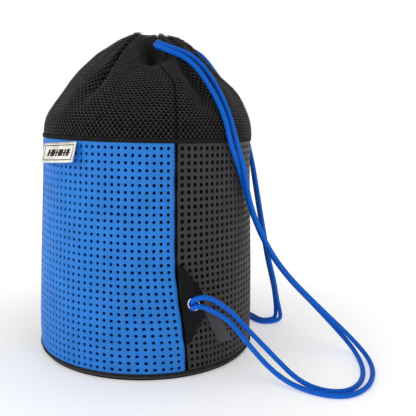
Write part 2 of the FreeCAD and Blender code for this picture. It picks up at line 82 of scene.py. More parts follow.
def add_mesh(name, points, faces, material, flip=False):
    """A smooth piece from points and faces. flip turns the faces over, for a mirrored piece."""
    if flip:
        faces = [face[::-1] for face in faces]
    mesh = bpy.data.meshes.new(name)
    mesh.from_pydata([tuple(p) for p in np.asarray(points, float)], [], [tuple(f) for f in faces])
    mesh.validate()
    mesh.polygons.foreach_set("use_smooth", [True] * len(mesh.polygons))
    mesh.materials.append(material)
    mesh.update()
    piece = bpy.data.objects.new(name, mesh)
    scene.collection.objects.link(piece)
    return piece


def grid_faces(rows, columns, wrap=False, close=False, first=0):
    """Quads of a grid of points stored row by row. wrap joins the last column to the first, and
    close joins the last row to the first."""
    faces = []
    for i in range(rows if close else rows - 1):
        low, high = first + i * columns, first + (i + 1) % rows * columns
        for j in range(columns if wrap else columns - 1):
            k = (j + 1) % columns
            faces.append((low + j, low + k, high + k, high + j))
    return faces


# ---------------------------------------------------------------- materials


class Nodes:
    """Short names for the shader nodes that the materials below share."""

    def __init__(self, name, colour, roughness, **sockets):
        self.material = bpy.data.materials.new(name)
        self.material.use_nodes = True
        self.tree = self.material.node_tree
        self.shader = self.tree.nodes["Principled BSDF"]
        self.shader.inputs["Base Color"].default_value = (*colour, 1)
        self.shader.inputs["Roughness"].default_value = roughness
        for socket, number in sockets.items():
            self.shader.inputs[socket.replace("_", " ")].default_value = number
        self.where = self.tree.nodes.new("ShaderNodeTexCoord").outputs["Object"]

    def link(self, output, socket):
        self.tree.links.new(output, socket)

    def noise(self, scale, detail):
        noise = self.tree.nodes.new("ShaderNodeTexNoise")
        noise.inputs["Scale"].default_value = scale
        noise.inputs["Detail"].default_value = detail
        noise.inputs["Roughness"].default_value = 0.55
        self.link(self.where, noise.inputs["Vector"])
        return noise.outputs["Fac"]

    def voronoi(self, scale):
        cells = self.tree.nodes.new("ShaderNodeTexVoronoi")
        cells.inputs["Scale"].default_value = scale
        self.link(self.where, cells.inputs["Vector"])
        return cells.outputs["Distance"]

    def ramp(self, factor, stops):
        ramp = self.tree.nodes.new("ShaderNodeValToRGB")
        while len(ramp.color_ramp.elements) < len(stops):
            ramp.color_ramp.elements.new(0.5)
        for element, (place, colour) in zip(ramp.color_ramp.elements, stops):
            element.position = place
            element.color = (*colour, 1)
        self.link(factor, ramp.inputs["Fac"])
        return ramp.outputs["Color"]

    def colour(self, factor, stops):
        self.link(self.ramp(factor, stops), self.shader.inputs["Base Color"])

    def rough(self, factor, low, high):
        self.link(self.ramp(factor, [(0.3, (low,) * 3), (0.7, (high,) * 3)]),
                  self.shader.inputs["Roughness"])

    def add(self, first, second, weight):
        node = self.tree.nodes.new("ShaderNodeMath")
        node.operation = "MULTIPLY_ADD"
        self.link(second, node.inputs[0])
        node.inputs[1].default_value = weight
        self.link(first, node.inputs[2])
        return node.outputs[0]

    def bump(self, height, strength, distance):
        bump = self.tree.nodes.new("ShaderNodeBump")
        bump.inputs["Strength"].default_value = strength
        bump.inputs["Distance"].default_value = distance
        self.link(height, bump.inputs["Height"])
        self.link(bump.outputs["Normal"], self.shader.inputs["Normal"])


def shade(colour, factor):
    return tuple(min(1.0, c * factor) for c in colour)


def foam_material(name, colour, roughness, grain):
    """Foam sheet with a fine knit face: soft mottling and a close grain."""
    n = Nodes(name, colour, roughness, Specular_IOR_Level=0.22)
    n.colour(n.noise(38, 5), [(0.25, shade(colour, 0.86)), (0.5, colour), (0.8, shade(colour, 1.1))])
    n.rough(n.noise(90, 3), roughness - 0.06, roughness + 0.08)
    n.bump(n.add(n.noise(1500, 2), n.noise(420, 2), 0.6), 0.35, grain)
    return n.material


def cloth_material(name, colour, roughness, scale=900, depth=0.00012, sheen=0.0, gloss=0.25):
    """Woven or coated cloth: a fine uneven weave with worn, lighter high spots."""
    n = Nodes(name, colour, roughness, Sheen_Weight=sheen, Sheen_Roughness=0.45,
              Specular_IOR_Level=gloss)
    n.colour(n.noise(60, 6), [(0.3, shade(colour, 0.75)), (0.55, colour), (0.8, shade(colour, 1.35))])
    n.rough(n.noise(200, 3), roughness - 0.08, min(1.0, roughness + 0.1))
    n.bump(n.add(n.voronoi(scale), n.noise(scale * 0.7, 2), 0.5), 0.5, depth)
    return n.material


# Linear colours of the pieces that show most.
BLUE = (0.013, 0.178, 0.60)
DARK = (0.034, 0.0295, 0.0285)
MESH = (0.0290, 0.0245, 0.0230)
CORD = (0.0012, 0.112, 0.56)
NAVY = (0.0026, 0.0027, 0.0044)

foam_blue = foam_material("foam_blue", BLUE, 0.52, 0.00010)
foam_dark = foam_material("foam_dark", DARK, 0.50, 0.00014)
foam_side = foam_material("foam_inside", (0.0045, 0.0045, 0.005), 0.9, 0.0001)
mesh_yarn = cloth_material("mesh_yarn", MESH, 0.55, 2200, 0.00010, 0.06, 0.4)
mesh_back = cloth_material("mesh_backing", (0.0032, 0.0030, 0.0030), 0.9, 1500, 0.0001, 0.0, 0.05)
hem_cloth = cloth_material("hem_cloth", (0.0062, 0.0058, 0.0056), 0.85, 1800, 0.00012)
tape_cloth = cloth_material("tape_cloth", (0.008, 0.008, 0.0085), 0.72, 1600, 0.0001)
tab_cloth = cloth_material("tab_cloth", NAVY, 0.55, 2600, 0.00005, gloss=0.12)
patch_cloth = cloth_material("patch_cloth", (0.058, 0.055, 0.060), 0.5, 1800, 0.00006)
thread_dark = cloth_material("thread_dark", (0.02, 0.021, 0.026), 0.6, 4000, 0.00005)
thread_blue = cloth_material("thread_blue", (0.02, 0.13, 0.55), 0.55, 4000, 0.00005)
board_plastic = cloth_material("board_plastic", (0.02, 0.02, 0.02), 0.6, 700, 0.0001)
welt_plastic = cloth_material("welt_plastic", (0.035, 0.035, 0.037), 0.45, 900, 0.00005)
label_cloth = cloth_material("label_cloth", (0.80, 0.775, 0.70), 0.7, 2600, 0.00008)
label_black = cloth_material("label_black", (0.012, 0.012, 0.012), 0.7, 2600, 0.00008)


def cord_material():
    """Braid with painted shade in the grooves and a painted highlight on the yarns' crowns, with some
    random tone: its weave's height is an attribute of the cord's mesh, which the colour follows.
    """
    n = Nodes("cord_braid", CORD, 0.6, Specular_IOR_Level=0.12)
    height = n.tree.nodes.new("ShaderNodeAttribute")
    height.attribute_name = "weave"
    weave_shading = n.add(height.outputs["Fac"], n.noise(700, 3), 0.35)
    # painted shade in the low places of the weave, painted highlight on the high ones
    n.colour(weave_shading, [(0.18, shade(CORD, 0.30)), (0.55, CORD), (0.95, shade(CORD, 1.35))])
    n.rough(n.noise(400, 2), 0.42, 0.6)
    n.bump(n.noise(3500, 2), 0.4, 0.00006)
    return n.material


def metal_material(name, colour, roughness):
    """Plated metal, a little dull in patches."""
    n = Nodes(name, colour, roughness, Metallic=1.0)
    n.colour(n.noise(260, 4), [(0.3, shade(colour, 0.86)), (0.7, colour)])
    n.rough(n.noise(900, 3), roughness - 0.06, roughness + 0.1)
    n.bump(n.noise(1200, 2), 0.12, 0.00003)
    return n.material


cord_braid = cord_material()
eyelet_metal = metal_material("eyelet_metal", (0.86, 0.80, 0.68), 0.24)

# ---------------------------------------------------------------- camera

camera = bpy.data.objects.new("camera", bpy.data.cameras.new("camera"))
scene.collection.objects.link(camera)
scene.camera = camera
camera.data.lens = 51.49
camera.data.sensor_width = 36.0
CAMERA_PLACE = (0.6794, -0.1568, 0.2715)
PITCH = math.radians(9.08)               # how far it looks down
ROLL = math.radians(1.26)
HEADING = Vector((-0.9466, 0.3223, 0))   # the level part of the way it looks
forward = HEADING * math.cos(PITCH) + Vector((0, 0, -math.sin(PITCH)))
level = Vector((0.3223, 0.9466, 0)).normalized()
up = level.cross(forward)
right_way = level * math.cos(ROLL) + up * math.sin(ROLL)
up_way = up * math.cos(ROLL) - level * math.sin(ROLL)
camera.matrix_world = Matrix([(*column, place) for *column, place in
                              zip(right_way, up_way, -forward, CAMERA_PLACE)] + [(0, 0, 0, 1)])

# ---------------------------------------------------------------- shoulder cords

CORD_RADIUS = 2.75 * MM
LINE_STEP = 0.62 * MM
# Each strand's route from the casing's slit to its eyelet, in millimetres.
ROUTES = {
    "right_strap_strand_a": [
        (54, -5, 344.5), (62, -0.9, 340.5), (66.5, 12, 336.5), (67, 27, 332), (70, 41, 321),
        (78.5, 50, 306), (92.1, 55.2, 289.8), (102.2, 61.2, 268.8), (104.2, 68, 244.6),
        (99.6, 80, 214.2), (90.2, 90.4, 179.7), (83, 107, 145), (79.5, 128, 111),
        (80.5, 151.5, 83), (85, 174, 60.5), (93, 194, 40.5), (104.5, 209.5, 24.5),
        (120, 219, 12), (138, 220.5, 5), (159, 213, 3), (179, 200.5, 3), (197, 184, 3),
        (208, 166, 3), (211.5, 148, 3), (205, 131.5, 3), (190, 117, 3), (172, 105, 5),
        (156, 92, 14.5), (145, 76.5, 33), (137.2, 55.2, 60.5), (139.6, 48, 66.4),
        (142, 40.9, 71.8), (144.5, 33.1, 77), (146.4, 25.4, 81.6), (147, 19.6, 83.9),
        (145.4, 15.4, 83.6), (142.9, 13.6, 81.9), (139.9, 13.1, 80.1), (136.8, 14, 79.1),
        (134.7, 15.7, 79)],
    "right_strap_strand_b": [
        (58, -8, 341), (65, -5, 338), (71, 6.5, 333), (73.5, 21.5, 327.5), (78, 34, 316),
        (87.5, 42, 301), (99.9, 48.2, 284.9), (107.6, 55.3, 263.8), (106, 61.9, 238.4),
        (94.3, 77.2, 212.2), (82.4, 92.4, 177.3), (75.5, 109, 142.5), (72, 130.5, 107.5),
        (73, 154.5, 78.5), (77.5, 177, 56), (86, 196, 35), (98, 209, 19), (114.5, 214.5, 8.5),
        (132, 212, 4), (153, 204, 3), (172.5, 193, 3), (189.5, 178.5, 3), (200, 162.5, 3),
        (202, 147.5, 3), (195, 133.5, 3), (181, 123, 3.5), (165, 114, 8), (151.5, 102, 21),
        (141, 86.5, 38), (134, 70, 56), (139.8, 53.4, 74), (142.2, 45.5, 79.9),
        (144.7, 37.9, 85.8), (146.4, 30.9, 90.4), (147.8, 23.6, 93.2), (147.6, 17.4, 92.9),
        (145.7, 14, 91.3), (142.9, 12.4, 89.1), (139.8, 12.3, 86.8), (136.8, 13.4, 85.3),
        (134.6, 15.1, 84.9)],
    "left_strap_strand_a": [
        (-54, 5, 348), (-59.7, 12.3, 348.4), (-55, 25.5, 346.5), (-43.5, 39, 348.5),
        (-28.5, 50, 349), (-14, 57, 344), (-6, 67, 336), (-2.8, 79.5, 320),
        (-3.5, 93.6, 303), (-4.4, 107, 284), (-4.5, 118, 261), (-2, 125.5, 236),
        (2.7, 131.5, 208), (1.7, 139.9, 169.9), (-2.6, 150.5, 127.9), (-7.1, 161.5, 87.9),
        (-11.6, 173.1, 54.9), (-14.9, 179.5, 30), (-16.8, 185, 13), (-13, 185.5, 4),
        (-4.5, 178, 3), (0, 165.5, 3), (-2.5, 154, 3), (-13, 147.5, 3), (-33, 145.3, 3),
        (-60, 139, 3), (-88, 131.5, 3), (-113, 118.5, 3.5), (-131, 100, 10), (-139.5, 81, 26),
        (-137.3, 62.3, 45.8), (-136.1, 54.5, 60.2), (-139.5, 47.9, 66.4), (-142, 40.9, 71.8),
        (-144.5, 33.1, 77), (-146.4, 25.4, 81.6), (-147, 19.6, 83.9), (-145.4, 15.4, 83.6),
        (-142.9, 13.6, 81.9), (-139.9, 13.1, 80.1), (-136.8, 14, 79.1), (-134.7, 15.7, 79)],
    "left_strap_strand_b": [
        (-58, 8, 342.5), (-65.1, 15, 340.3), (-60.5, 28.5, 340.5), (-49.5, 42.5, 342.5),
        (-33.5, 54.5, 343.5), (-19, 62, 338), (-11, 72, 329.5), (-8.9, 84, 313.5),
        (-9.9, 98, 296), (-10.5, 111.5, 277.5), (-10.5, 122.8, 255.5), (-8, 130, 230),
        (-3.2, 133.6, 202), (-5.3, 142, 163.1), (-9.9, 153, 120.1), (-14.5, 163.9, 80.1),
        (-18.8, 174.9, 48), (-21.5, 180.3, 25), (-21.6, 181.8, 11), (-17, 179.5, 3.5),
        (-10.5, 172.3, 3), (-8.5, 162.3, 3), (-13, 154.8, 3), (-24.5, 153.2, 3), (-41, 149.6, 3),
        (-66, 144.5, 3), (-95, 137.5, 3), (-121, 124, 3), (-140, 105, 6.5), (-149, 85, 20.5),
        (-144.3, 67, 41), (-141.6, 58.5, 58.3), (-139.9, 53.4, 74), (-142.2, 45.5, 79.9),
        (-144.7, 37.9, 85.8), (-146.4, 30.9, 90.4), (-147.8, 23.6, 93.2), (-147.6, 17.4, 92.9),
        (-145.7, 14, 91.3), (-142.9, 12.4, 89.1), (-139.8, 12.3, 86.8), (-136.8, 13.4, 85.3),
        (-134.6, 15.1, 84.9)],
}


def smooth_line(points):
    """Points along one NURBS line through a route in millimetres, LINE_STEP apart."""
    curve = bpy.data.curves.new("route", "CURVE")
    curve.dimensions = "3D"
    curve.resolution_u = 24
    spline = curve.splines.new("NURBS")
    spline.points.add(len(points) - 1)
    for point, place in zip(spline.points, points):
        point.co = (*(c * MM for c in place), 1)
    spline.order_u = 3
    spline.use_endpoint_u = True
    holder = bpy.data.objects.new("route", curve)
    scene.collection.objects.link(holder)
    mesh = bpy.data.meshes.new_from_object(holder)
    line = np.array([v.co for v in mesh.vertices])
    bpy.data.objects.remove(holder)
    bpy.data.meshes.remove(mesh)
    bpy.data.curves.remove(curve)
    return evenly(line, LINE_STEP)


def evenly(line, step):
    """The same line with its points as near to step apart as its length allows."""
    along = length_along(line)
    wanted = np.linspace(0, along[-1], max(3, int(round(along[-1] / step)) + 1))
    return np.stack([np.interp(wanted, along, line[:, i]) for i in range(3)], -1)


def sections(line):
    """Two directions across a line at each of its points, carried along it without a twist."""
    tangents = np.gradient(line, axis=0)
    tangents /= np.linalg.norm(tangents, axis=1)[:, None]
    side = np.cross(tangents[0], (0.3, 0.2, 0.93))
    sides = []
    for t in tangents:
        side = side - t * side.dot(t)
        side = side / np.linalg.norm(side)
        sides.append(side)
    sides = np.array(sides)
    return sides, np.cross(tangents, sides)


def braided_tube(name, line, radius, around=24, strands=5, pitch=18 * MM):
    """A round braid: two sets of flat yarns wound opposite ways that pass over and under. The
    height of the weave is also kept on the mesh, where the cord's material reads it to paint
    shade into the grooves and a highlight onto the crowns."""
    sides, tops = sections(line)
    step = np.linalg.norm(line[1] - line[0])
    along = np.arange(len(line)) * step
    turn = np.arange(around) / around
    u = along[:, None] / pitch
    one = strands * (turn[None] + u)
    two = strands * (turn[None] - u)
    weave = np.sin(math.pi * one) ** 2 * (np.cos(math.pi * (one + two) / 2) ** 2)
    weave = np.maximum(weave, np.sin(math.pi * two) ** 2 * (np.sin(math.pi * (one + two) / 2) ** 2))
    reach = radius * (0.90 + 0.12 * weave)
    reach[0] = reach[-1] = radius * 0.8
    angle = math.tau * turn
    ring = (sides[:, None] * np.cos(angle)[None, :, None]
            + tops[:, None] * np.sin(angle)[None, :, None]) * reach[:, :, None]
    points = (line[:, None] + ring).reshape(-1, 3)
    faces = grid_faces(len(line), around, wrap=True)
    count = len(points)
    points = np.concatenate([points, line[:1], line[-1:]])
    last = count - around
    for j in range(around):
        k = (j + 1) % around
        faces.append((count, k, j))
        faces.append((count + 1, last + j, last + k))
    tube = add_mesh(name, points, faces, cord_braid)
    height = tube.data.attributes.new("weave", "FLOAT", "POINT")
    height.data.foreach_set("value", np.concatenate([weave.ravel(), [0.5, 0.5]]))
    return tube


# Each strand starts a little inside its slit, so that its end hides in the fold.
HIDDEN_START = {"a": (48.5, 1.5, 341), "b": (52.5, -1.5, 336.5)}
LEFT_HIGHER = 3                          # the left slit lies this much higher, in millimetres
centre_lines = {}
for name, route in ROUTES.items():
    side = name.split("_")[0]
    mirror = 1 if side == "right" else -1
    x, y, z = HIDDEN_START[name[-1]]
    hidden = (mirror * x, mirror * y, z + LEFT_HIGHER * (side == "left"))
    line = smooth_line([hidden] + route)
    centre_lines[name] = line
    strand = braided_tube(name + "_braid", line, CORD_RADIUS)
    length = float(length_along(line)[-1])
    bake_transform(strand)
    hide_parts(name)

strand_points = np.concatenate(list(centre_lines.values()))
strand_tree = KDTree(len(strand_points))
for i, p in enumerate(strand_points):
    strand_tree.insert(Vector(p), i)
strand_tree.balance()

# ---------------------------------------------------------------- perforated wall

body_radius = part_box("wall_panel_dark_back")[1][1]
wall_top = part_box("wall_panel_blue")[1][2]
mouth_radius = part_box("seam_band")[1][1] - 0.8 * MM
WALL_LOW = 6.2 * MM
FRONT_SEAM = -92.0                       # degrees from the right side seam
SEAM_RUN = 13 * MM                       # how far the right side seam has run at the floor,
SEAM_BENDS = 135 * MM                    # and the height where it starts to
PITCH_UP = 7.25 * MM                     # from hole to hole
PITCH_ROUND = 3.396                      # degrees from hole to hole
PLAIN_STRIPS = 2.4                       # degrees without holes, left and right together
SCALLOP_PITCH = 4.1 * MM                 # from wave to wave of a panel's zigzag-sewn edge
EDGE_TURN = 0.8                          # degrees over which that edge is rolled in
EDGE_ROLL = 1.3 * MM
PANEL = 3.6 * MM                         # thickness of a wall panel
CHAMFER = 0.35 * MM                      # how far a punched hole's rim is drawn in
DRAWN_IN = [(0, 0), (45, 0), (100, 1.4), (150, 3.3), (200, 5.4)]   # height and depth, millimetres


def wall_radius(z):
    """Outside of the wall: straight up to the belly, then drawn in to the mouth, a little full
    in the middle where it lies round the ball."""
    taper = np.interp(z, [height * MM for height, _ in DRAWN_IN] + [wall_top],
                      [body_radius - depth * MM for _, depth in DRAWN_IN] + [mouth_radius])
    return taper - 0.2 * MM * np.sin(smoothstep(z, 0.02, 0.40) * math.pi)


def seam_shift(z):
    """How far the side seam runs toward the wearer's side near the floor, in degrees."""
    return np.degrees(SEAM_RUN * smoothstep(-np.asarray(z, float), -SEAM_BENDS, 0.0) / body_radius)


def wall_point(degrees, z, depth=0.0):
    """A point of the wall, with the faint waves that a foam sheet keeps after it is sewn."""
    degrees, z = np.broadcast_arrays(np.asarray(degrees, float), np.asarray(z, float))
    a = np.radians(degrees)
    ease = smoothstep(z, 0.01, 0.04) * (1 - smoothstep(z, 0.215, wall_top))
    waves = 0.45 * MM * np.sin(7 * a + 9 * z + 0.6) + 0.3 * MM * np.sin(13 * a - 17 * z + 2.1)
    radius = wall_radius(z) + waves * ease - depth
    return np.stack([radius * np.cos(a), radius * np.sin(a), z], -1)


def hole_outline(square):
    """Eight points round a hole of half-width 1, from round (0) to nearly square (1)."""
    angle = np.arange(8) * math.pi / 4
    power = 2 + 3.0 * square
    c, s = np.cos(angle), np.sin(angle)
    reach = 1 / (np.abs(c) ** power + np.abs(s) ** power) ** (1 / power)
    return np.stack([reach * c, reach * s], -1)


def halved(places):
    """The places with the middle of each gap between them."""
    return np.sort(np.concatenate([places, (places[1:] + places[:-1]) / 2]))


def perforated_panel(name, left, right, material, square, hole, proud=0.0, flare=(None, None),
                     scallop=0.0, margin=None):
    """A curved sheet from left to right, in degrees at the top, with a grid of punched holes.
    flare gives the width of wall, in degrees, over which a seam's run forward fades out, and
    margin the plain strip at its left edge; without it the strips left and right are the same."""
    columns = int(round((right - left - PLAIN_STRIPS) / PITCH_ROUND))
    rows = int((wall_top - WALL_LOW - 3 * MM) / PITCH_UP)
    edge = (right - left - columns * PITCH_ROUND) / 2 if margin is None else margin
    cell_x = np.concatenate([[left], left + edge + PITCH_ROUND * np.arange(columns + 1), [right]])
    low = WALL_LOW + (wall_top - WALL_LOW - rows * PITCH_UP) / 2
    cell_z = np.concatenate([[WALL_LOW], low + PITCH_UP * np.arange(rows + 1), [wall_top]])

    def place(x, z, depth):
        x = np.asarray(x, float)
        shift = 0.0
        if flare[1]:
            shift = seam_shift(z) * smoothstep(x, right - flare[1], right)
        if flare[0]:
            shift = seam_shift(z) * (1 - smoothstep(x, left, left + flare[0]))
        wave = scallop * (smoothstep(x, right - 1.0, right) - smoothstep(-x, -left - 1.0, -left))
        shift = shift + wave * np.sin(np.asarray(z, float) / SCALLOP_PITCH * math.tau)
        return wall_point(x + shift, z, depth - proud)

    # The outer and inner skins have a point at each cell's corners, sides and middle, so that a
    # hole in it can be ringed by eight quads.
    gx, gz = np.meshgrid(halved(cell_x), halved(cell_z))
    across = gx.shape[1]
    layer = gx.size
    level = np.minimum(smoothstep(gx, left, left + EDGE_TURN),
                       smoothstep(-gx, -right, -right + EDGE_TURN))
    rim = (1 - level) * EDGE_ROLL
    points = [place(gx, gz, rim).reshape(-1, 3), place(gx, gz, PANEL - 0.2 * rim).reshape(-1, 3)]
    faces = []
    count = 2 * layer
    around = [(0, 1), (1, 1), (1, 0), (1, -1), (0, -1), (-1, -1), (-1, 0), (-1, 1)]
    outline = hole_outline(square)
    rng = random.Random(name)
    for i in range(len(cell_z) - 1):
        for j in range(len(cell_x) - 1):
            centre = (2 * i + 1) * across + 2 * j + 1
            border = [centre + dz * across + dx for dz, dx in around]
            if not (0 < i < len(cell_z) - 2 and 0 < j < len(cell_x) - 2):
                for k in range(0, 8, 2):
                    a, b, c = border[k], border[k + 1], border[(k + 2) % 8]
                    faces.append((centre, a, b, c))
                    faces.append((centre + layer, c + layer, b + layer, a + layer))
                continue
            size = hole * rng.uniform(0.95, 1.05)
            for reach, depth in ((size, CHAMFER), (size + CHAMFER, 0.0), (size, PANEL)):
                x = (cell_x[j] + cell_x[j + 1]) / 2 + np.degrees(outline[:, 0] * reach / body_radius)
                z = (cell_z[i] + cell_z[i + 1]) / 2 + outline[:, 1] * reach
                points.append(place(x, z, depth))
            inner, outer, back = count, count + 8, count + 16
            count += 24
            for k in range(8):
                m = (k + 1) % 8
                faces.append((border[k], border[m], outer + m, outer + k))
                faces.append((outer + k, outer + m, inner + m, inner + k))
                faces.append((inner + k, inner + m, back + m, back + k))
                faces.append((border[m] + layer, border[k] + layer, back + k, back + m))
    # Close the sheet's edges.
    last = gx.shape[0] - 1
    for k in range(across - 1):
        faces.append((k, k + layer, k + 1 + layer, k + 1))
        a = last * across + k
        faces.append((a + 1, a + 1 + layer, a + layer, a))
    for i in range(last):
        a, b = i * across, (i + 1) * across
        faces.append((b, b + layer, a + layer, a))
        a, b = a + across - 1, b + across - 1
        faces.append((a, a + layer, b + layer, b))
    piece = add_mesh(name, np.concatenate(points), faces, material)
    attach(piece, "bag")
    return piece


blue_panel = perforated_panel("blue_panel_perforated", FRONT_SEAM + 0.5, -0.4, foam_blue, 0.1,
                              1.72 * MM, flare=(None, 40.0), scallop=0.16, proud=0.3 * MM)
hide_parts("wall_panel_blue")
front_panel = perforated_panel("dark_panel_front_perforated", -179.2, FRONT_SEAM - 0.5, foam_dark,
                               0.9, 1.9 * MM, scallop=0.1)
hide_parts("wall_panel_dark_front")
back_panel = perforated_panel("dark_panel_back_perforated", 1.0, 179.2, foam_dark, 0.9, 1.95 * MM,
                              flare=(30.0, None), scallop=0.12, margin=0.7)
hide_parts("wall_panel_dark_back")


def tape_strip(name, middle, width, depth, material, low, high, steps=90, surface=wall_point,
               shifted=False):
    """A narrow sewn strip that runs up a surface, slightly crowned across."""
    z = np.linspace(low, high, steps)
    cross = np.array([-1, -0.6, 0, 0.6, 1.0])
    lift = np.array([1.2, 0.25, 0, 0.25, 1.2]) * 0.4 * MM
    centre = middle + (seam_shift(z) if shifted else 0)
    outer = np.array([surface(centre + c * width / 2, z, depth + d) for c, d in zip(cross, lift)])
    inner = np.array([surface(centre + c * width / 2, z, depth + 1.2 * MM) for c in cross])
    points = np.concatenate([outer, inner[::-1]]).transpose(1, 0, 2).reshape(-1, 3)
    piece = add_mesh(name, points, grid_faces(steps, 10, wrap=True), material)
    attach(piece, "bag")
    return piece


# A near-black strip sunk in the gap beside the right side seam: painted shade in the groove between the
# blue panel's edge and the dark panel.
tape_strip("seam_gap_tape_right", 0.3, 2.4, 2.4 * MM, mesh_back, WALL_LOW, wall_top, shifted=True)
for label, middle in (("left", 180.0), ("front", FRONT_SEAM)):
    tape_strip(f"seam_gap_tape_{label}", middle, 3.0, 1.3 * MM, tape_cloth, WALL_LOW, wall_top)


def stitch_row(name, places, material, body="bag", thickness=0.42 * MM):
    """Short thread loops: each place is a pair of end points and the way the thread arches."""
    points, faces = [], []
    count = 0
    for start, end, arch in places:
        start, end, arch = (np.asarray(v, float) for v in (start, end, arch))
        along = end - start
        side = np.cross(along, arch)
        side /= np.linalg.norm(side) + 1e-12
        for t, rise, wide in ((0, -0.5, 0.5), (0.2, 0.6, 1), (0.5, 1.0, 1), (0.8, 0.6, 1),
                              (1, -0.5, 0.5)):
            middle = start + along * t + arch * thickness * rise
            for c, s in ((1, 0), (0.3, 0.9), (-0.8, 0.5), (-0.8, -0.5), (0.3, -0.9)):
                points.append(middle + (arch * c + side * s) * thickness * 0.5 * wide)
        faces += grid_faces(5, 5, wrap=True, first=count)
        count += 25
    piece = add_mesh(name, points, faces, material)
    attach(piece, body)
    return piece


def zigzag(middle, width, low, high, depth, shifted):
    """Places of the threads of a zigzag seam that runs up the wall."""
    pitch = 2.05 * MM
    places = []
    z = low
    flip = 1
    while z + pitch < high:
        ends = [wall_point(middle + (float(seam_shift(height)) if shifted else 0) + way * width / 2,
                           height, depth) for height, way in ((z, -flip), (z + pitch, flip))]
        out = np.array([ends[0][0], ends[0][1], 0]) / np.hypot(ends[0][0], ends[0][1])
        places.append((*ends, out))
        flip = -flip
        z += pitch
    return places


SEWN_FROM, SEWN_TO = WALL_LOW + 2 * MM, wall_top - 2 * MM
PROUD = -0.25 * MM                       # these threads stand out from the foam
tab_low, tab_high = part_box("right_tab_outer")
stitch_row("seam_stitches_right",        # the tab swings over the seam between these two runs
           zigzag(-0.85, 1.1, SEWN_FROM, tab_low[2] - 2 * MM, PROUD, True)
           + zigzag(-0.85, 1.1, tab_high[2] + 2 * MM, SEWN_TO, PROUD, True), thread_blue)
stitch_row("seam_stitches_front", zigzag(FRONT_SEAM + 0.9, 1.0, SEWN_FROM, SEWN_TO, PROUD, False),
           thread_blue)
stitch_row("seam_stitches_left", zigzag(180.9, 0.9, SEWN_FROM, SEWN_TO, 0.1 * MM, False),
           thread_dark)

# A thin near-black sheet just inside the panels closes the holes from behind: painted shade of the bag's
# inside, seen through the holes, and a dark inner face for the panels.
ROWS, COLUMNS = 60, 180
lining_shade_z = np.linspace(WALL_LOW + 1 * MM, wall_top - 1 * MM, ROWS)
lining_shade_turn = np.linspace(0, 360, COLUMNS + 1)[:-1]
skins = [wall_point(lining_shade_turn[None], lining_shade_z[:, None], depth).reshape(-1, 3)
         for depth in (3.75 * MM, 4.1 * MM)]
outer_faces = grid_faces(ROWS, COLUMNS, wrap=True)
inner_faces = [face[::-1] for face in grid_faces(ROWS, COLUMNS, wrap=True, first=ROWS * COLUMNS)]
lining_and_hole_shade = add_mesh("wall_lining_and_hole_shade", np.concatenate(skins), outer_faces + inner_faces, foam_side)
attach(lining_and_hole_shade, "bag")

# ---------------------------------------------------------------- gathered mesh top

SHOULDER = np.array([  # radius and height from the seam band up over the gather and into the mouth
    (118.0, 243.8), (118.5, 248.0), (117.8, 255.0), (116.0, 263.0), (113.0, 270.0),
    (108.6, 277.5), (103.6, 285.0), (98.0, 292.5), (91.4, 300.5), (84.2, 308.0), (76.8, 315.5),
    (69.0, 323.0), (61.2, 330.5), (53.2, 337.5), (44.8, 344.0), (36.6, 349.6), (29.4, 353.2),
    (22.8, 354.6), (17.4, 352.8), (14.2, 348.0), (12.8, 342.0), (12.2, 336.0)]) * MM
run = length_along(SHOULDER)
SHOULDER_LENGTH = run[-1]


def shoulder(s):
    """Radius, height and outward normal of the unfolded top at a distance s up from the band."""
    r = np.interp(s, run, SHOULDER[:, 0])
    z = np.interp(s, run, SHOULDER[:, 1])
    h = 4 * MM
    dr = np.interp(s + h, run, SHOULDER[:, 0]) - np.interp(s - h, run, SHOULDER[:, 0])
    dz = np.interp(s + h, run, SHOULDER[:, 1]) - np.interp(s - h, run, SHOULDER[:, 1])
    size = np.hypot(dr, dz) + 1e-12
    return r, z, dz / size, -dr / size


def turned(degrees):
    """The same direction between -180 and 180 degrees."""
    return (np.asarray(degrees, float) + 180) % 360 - 180


# Folds that run down from the gather: direction at the top and lower down, half-width in degrees,
# depth, and the distances up from the band where the fold starts and is full.
FOLDS = [
    (-45, -53, 3.7, 13.5, 20, 84), (25, 20, 6.0, 11.0, 12, 62), (47, 54, 6.0, 7.5, 56, 108),
    (-26, -27, 3.2, 2.2, 92, 124), (8, 6, 3.6, 3.0, 88, 122), (66, 70, 4.5, 3.2, 84, 118),
    (84, 90, 6.5, 6.5, 50, 112), (104, 106, 4.0, 2.6, 90, 124), (123, 128, 6.5, 6.5, 44, 110),
    (145, 146, 4.2, 3.0, 86, 122), (160, 158, 4.6, 4.0, 74, 114),
    (-160, -154, 7.0, 5.5, 24, 92), (-142, -143, 4.0, 3.0, 88, 122), (-124, -120, 6.0, 7.0, 46, 112),
    (-106, -104, 4.4, 2.4, 86, 120), (-80, -76, 5.0, 3.5, 60, 112), (-64, -66, 3.6, 2.6, 90, 124),
]
SLIT_UP = 112 * MM                       # the slits' distance up from the band
SLIT_HOLLOW = 18 * MM                    # how deep the cloth sinks in beside them
# Broad hollows, or swellings where the depth is less than zero: direction, half-width in degrees,
# depth, and the distances up from the band between which each grows and between which it fades.
BROAD = [(-98, 30, 1.6, -2, -1, 40, 70), (-92, 22, -2.0, 55, 85, 105, 125),
         (68, 30, 3.2, 50, 85, 112, 130)]
# Waves round the cloth: depth, number round the bag, turn for each metre up, and phase.
RIPPLES = [(0.5, 19, 0, 1.3), (0.25, 31, 0, 0)]
DRAPE = [(0.9, 5, 60, 0.7), (0.7, 9, -45, 2.0), (0.5, 14, 30, 0)]


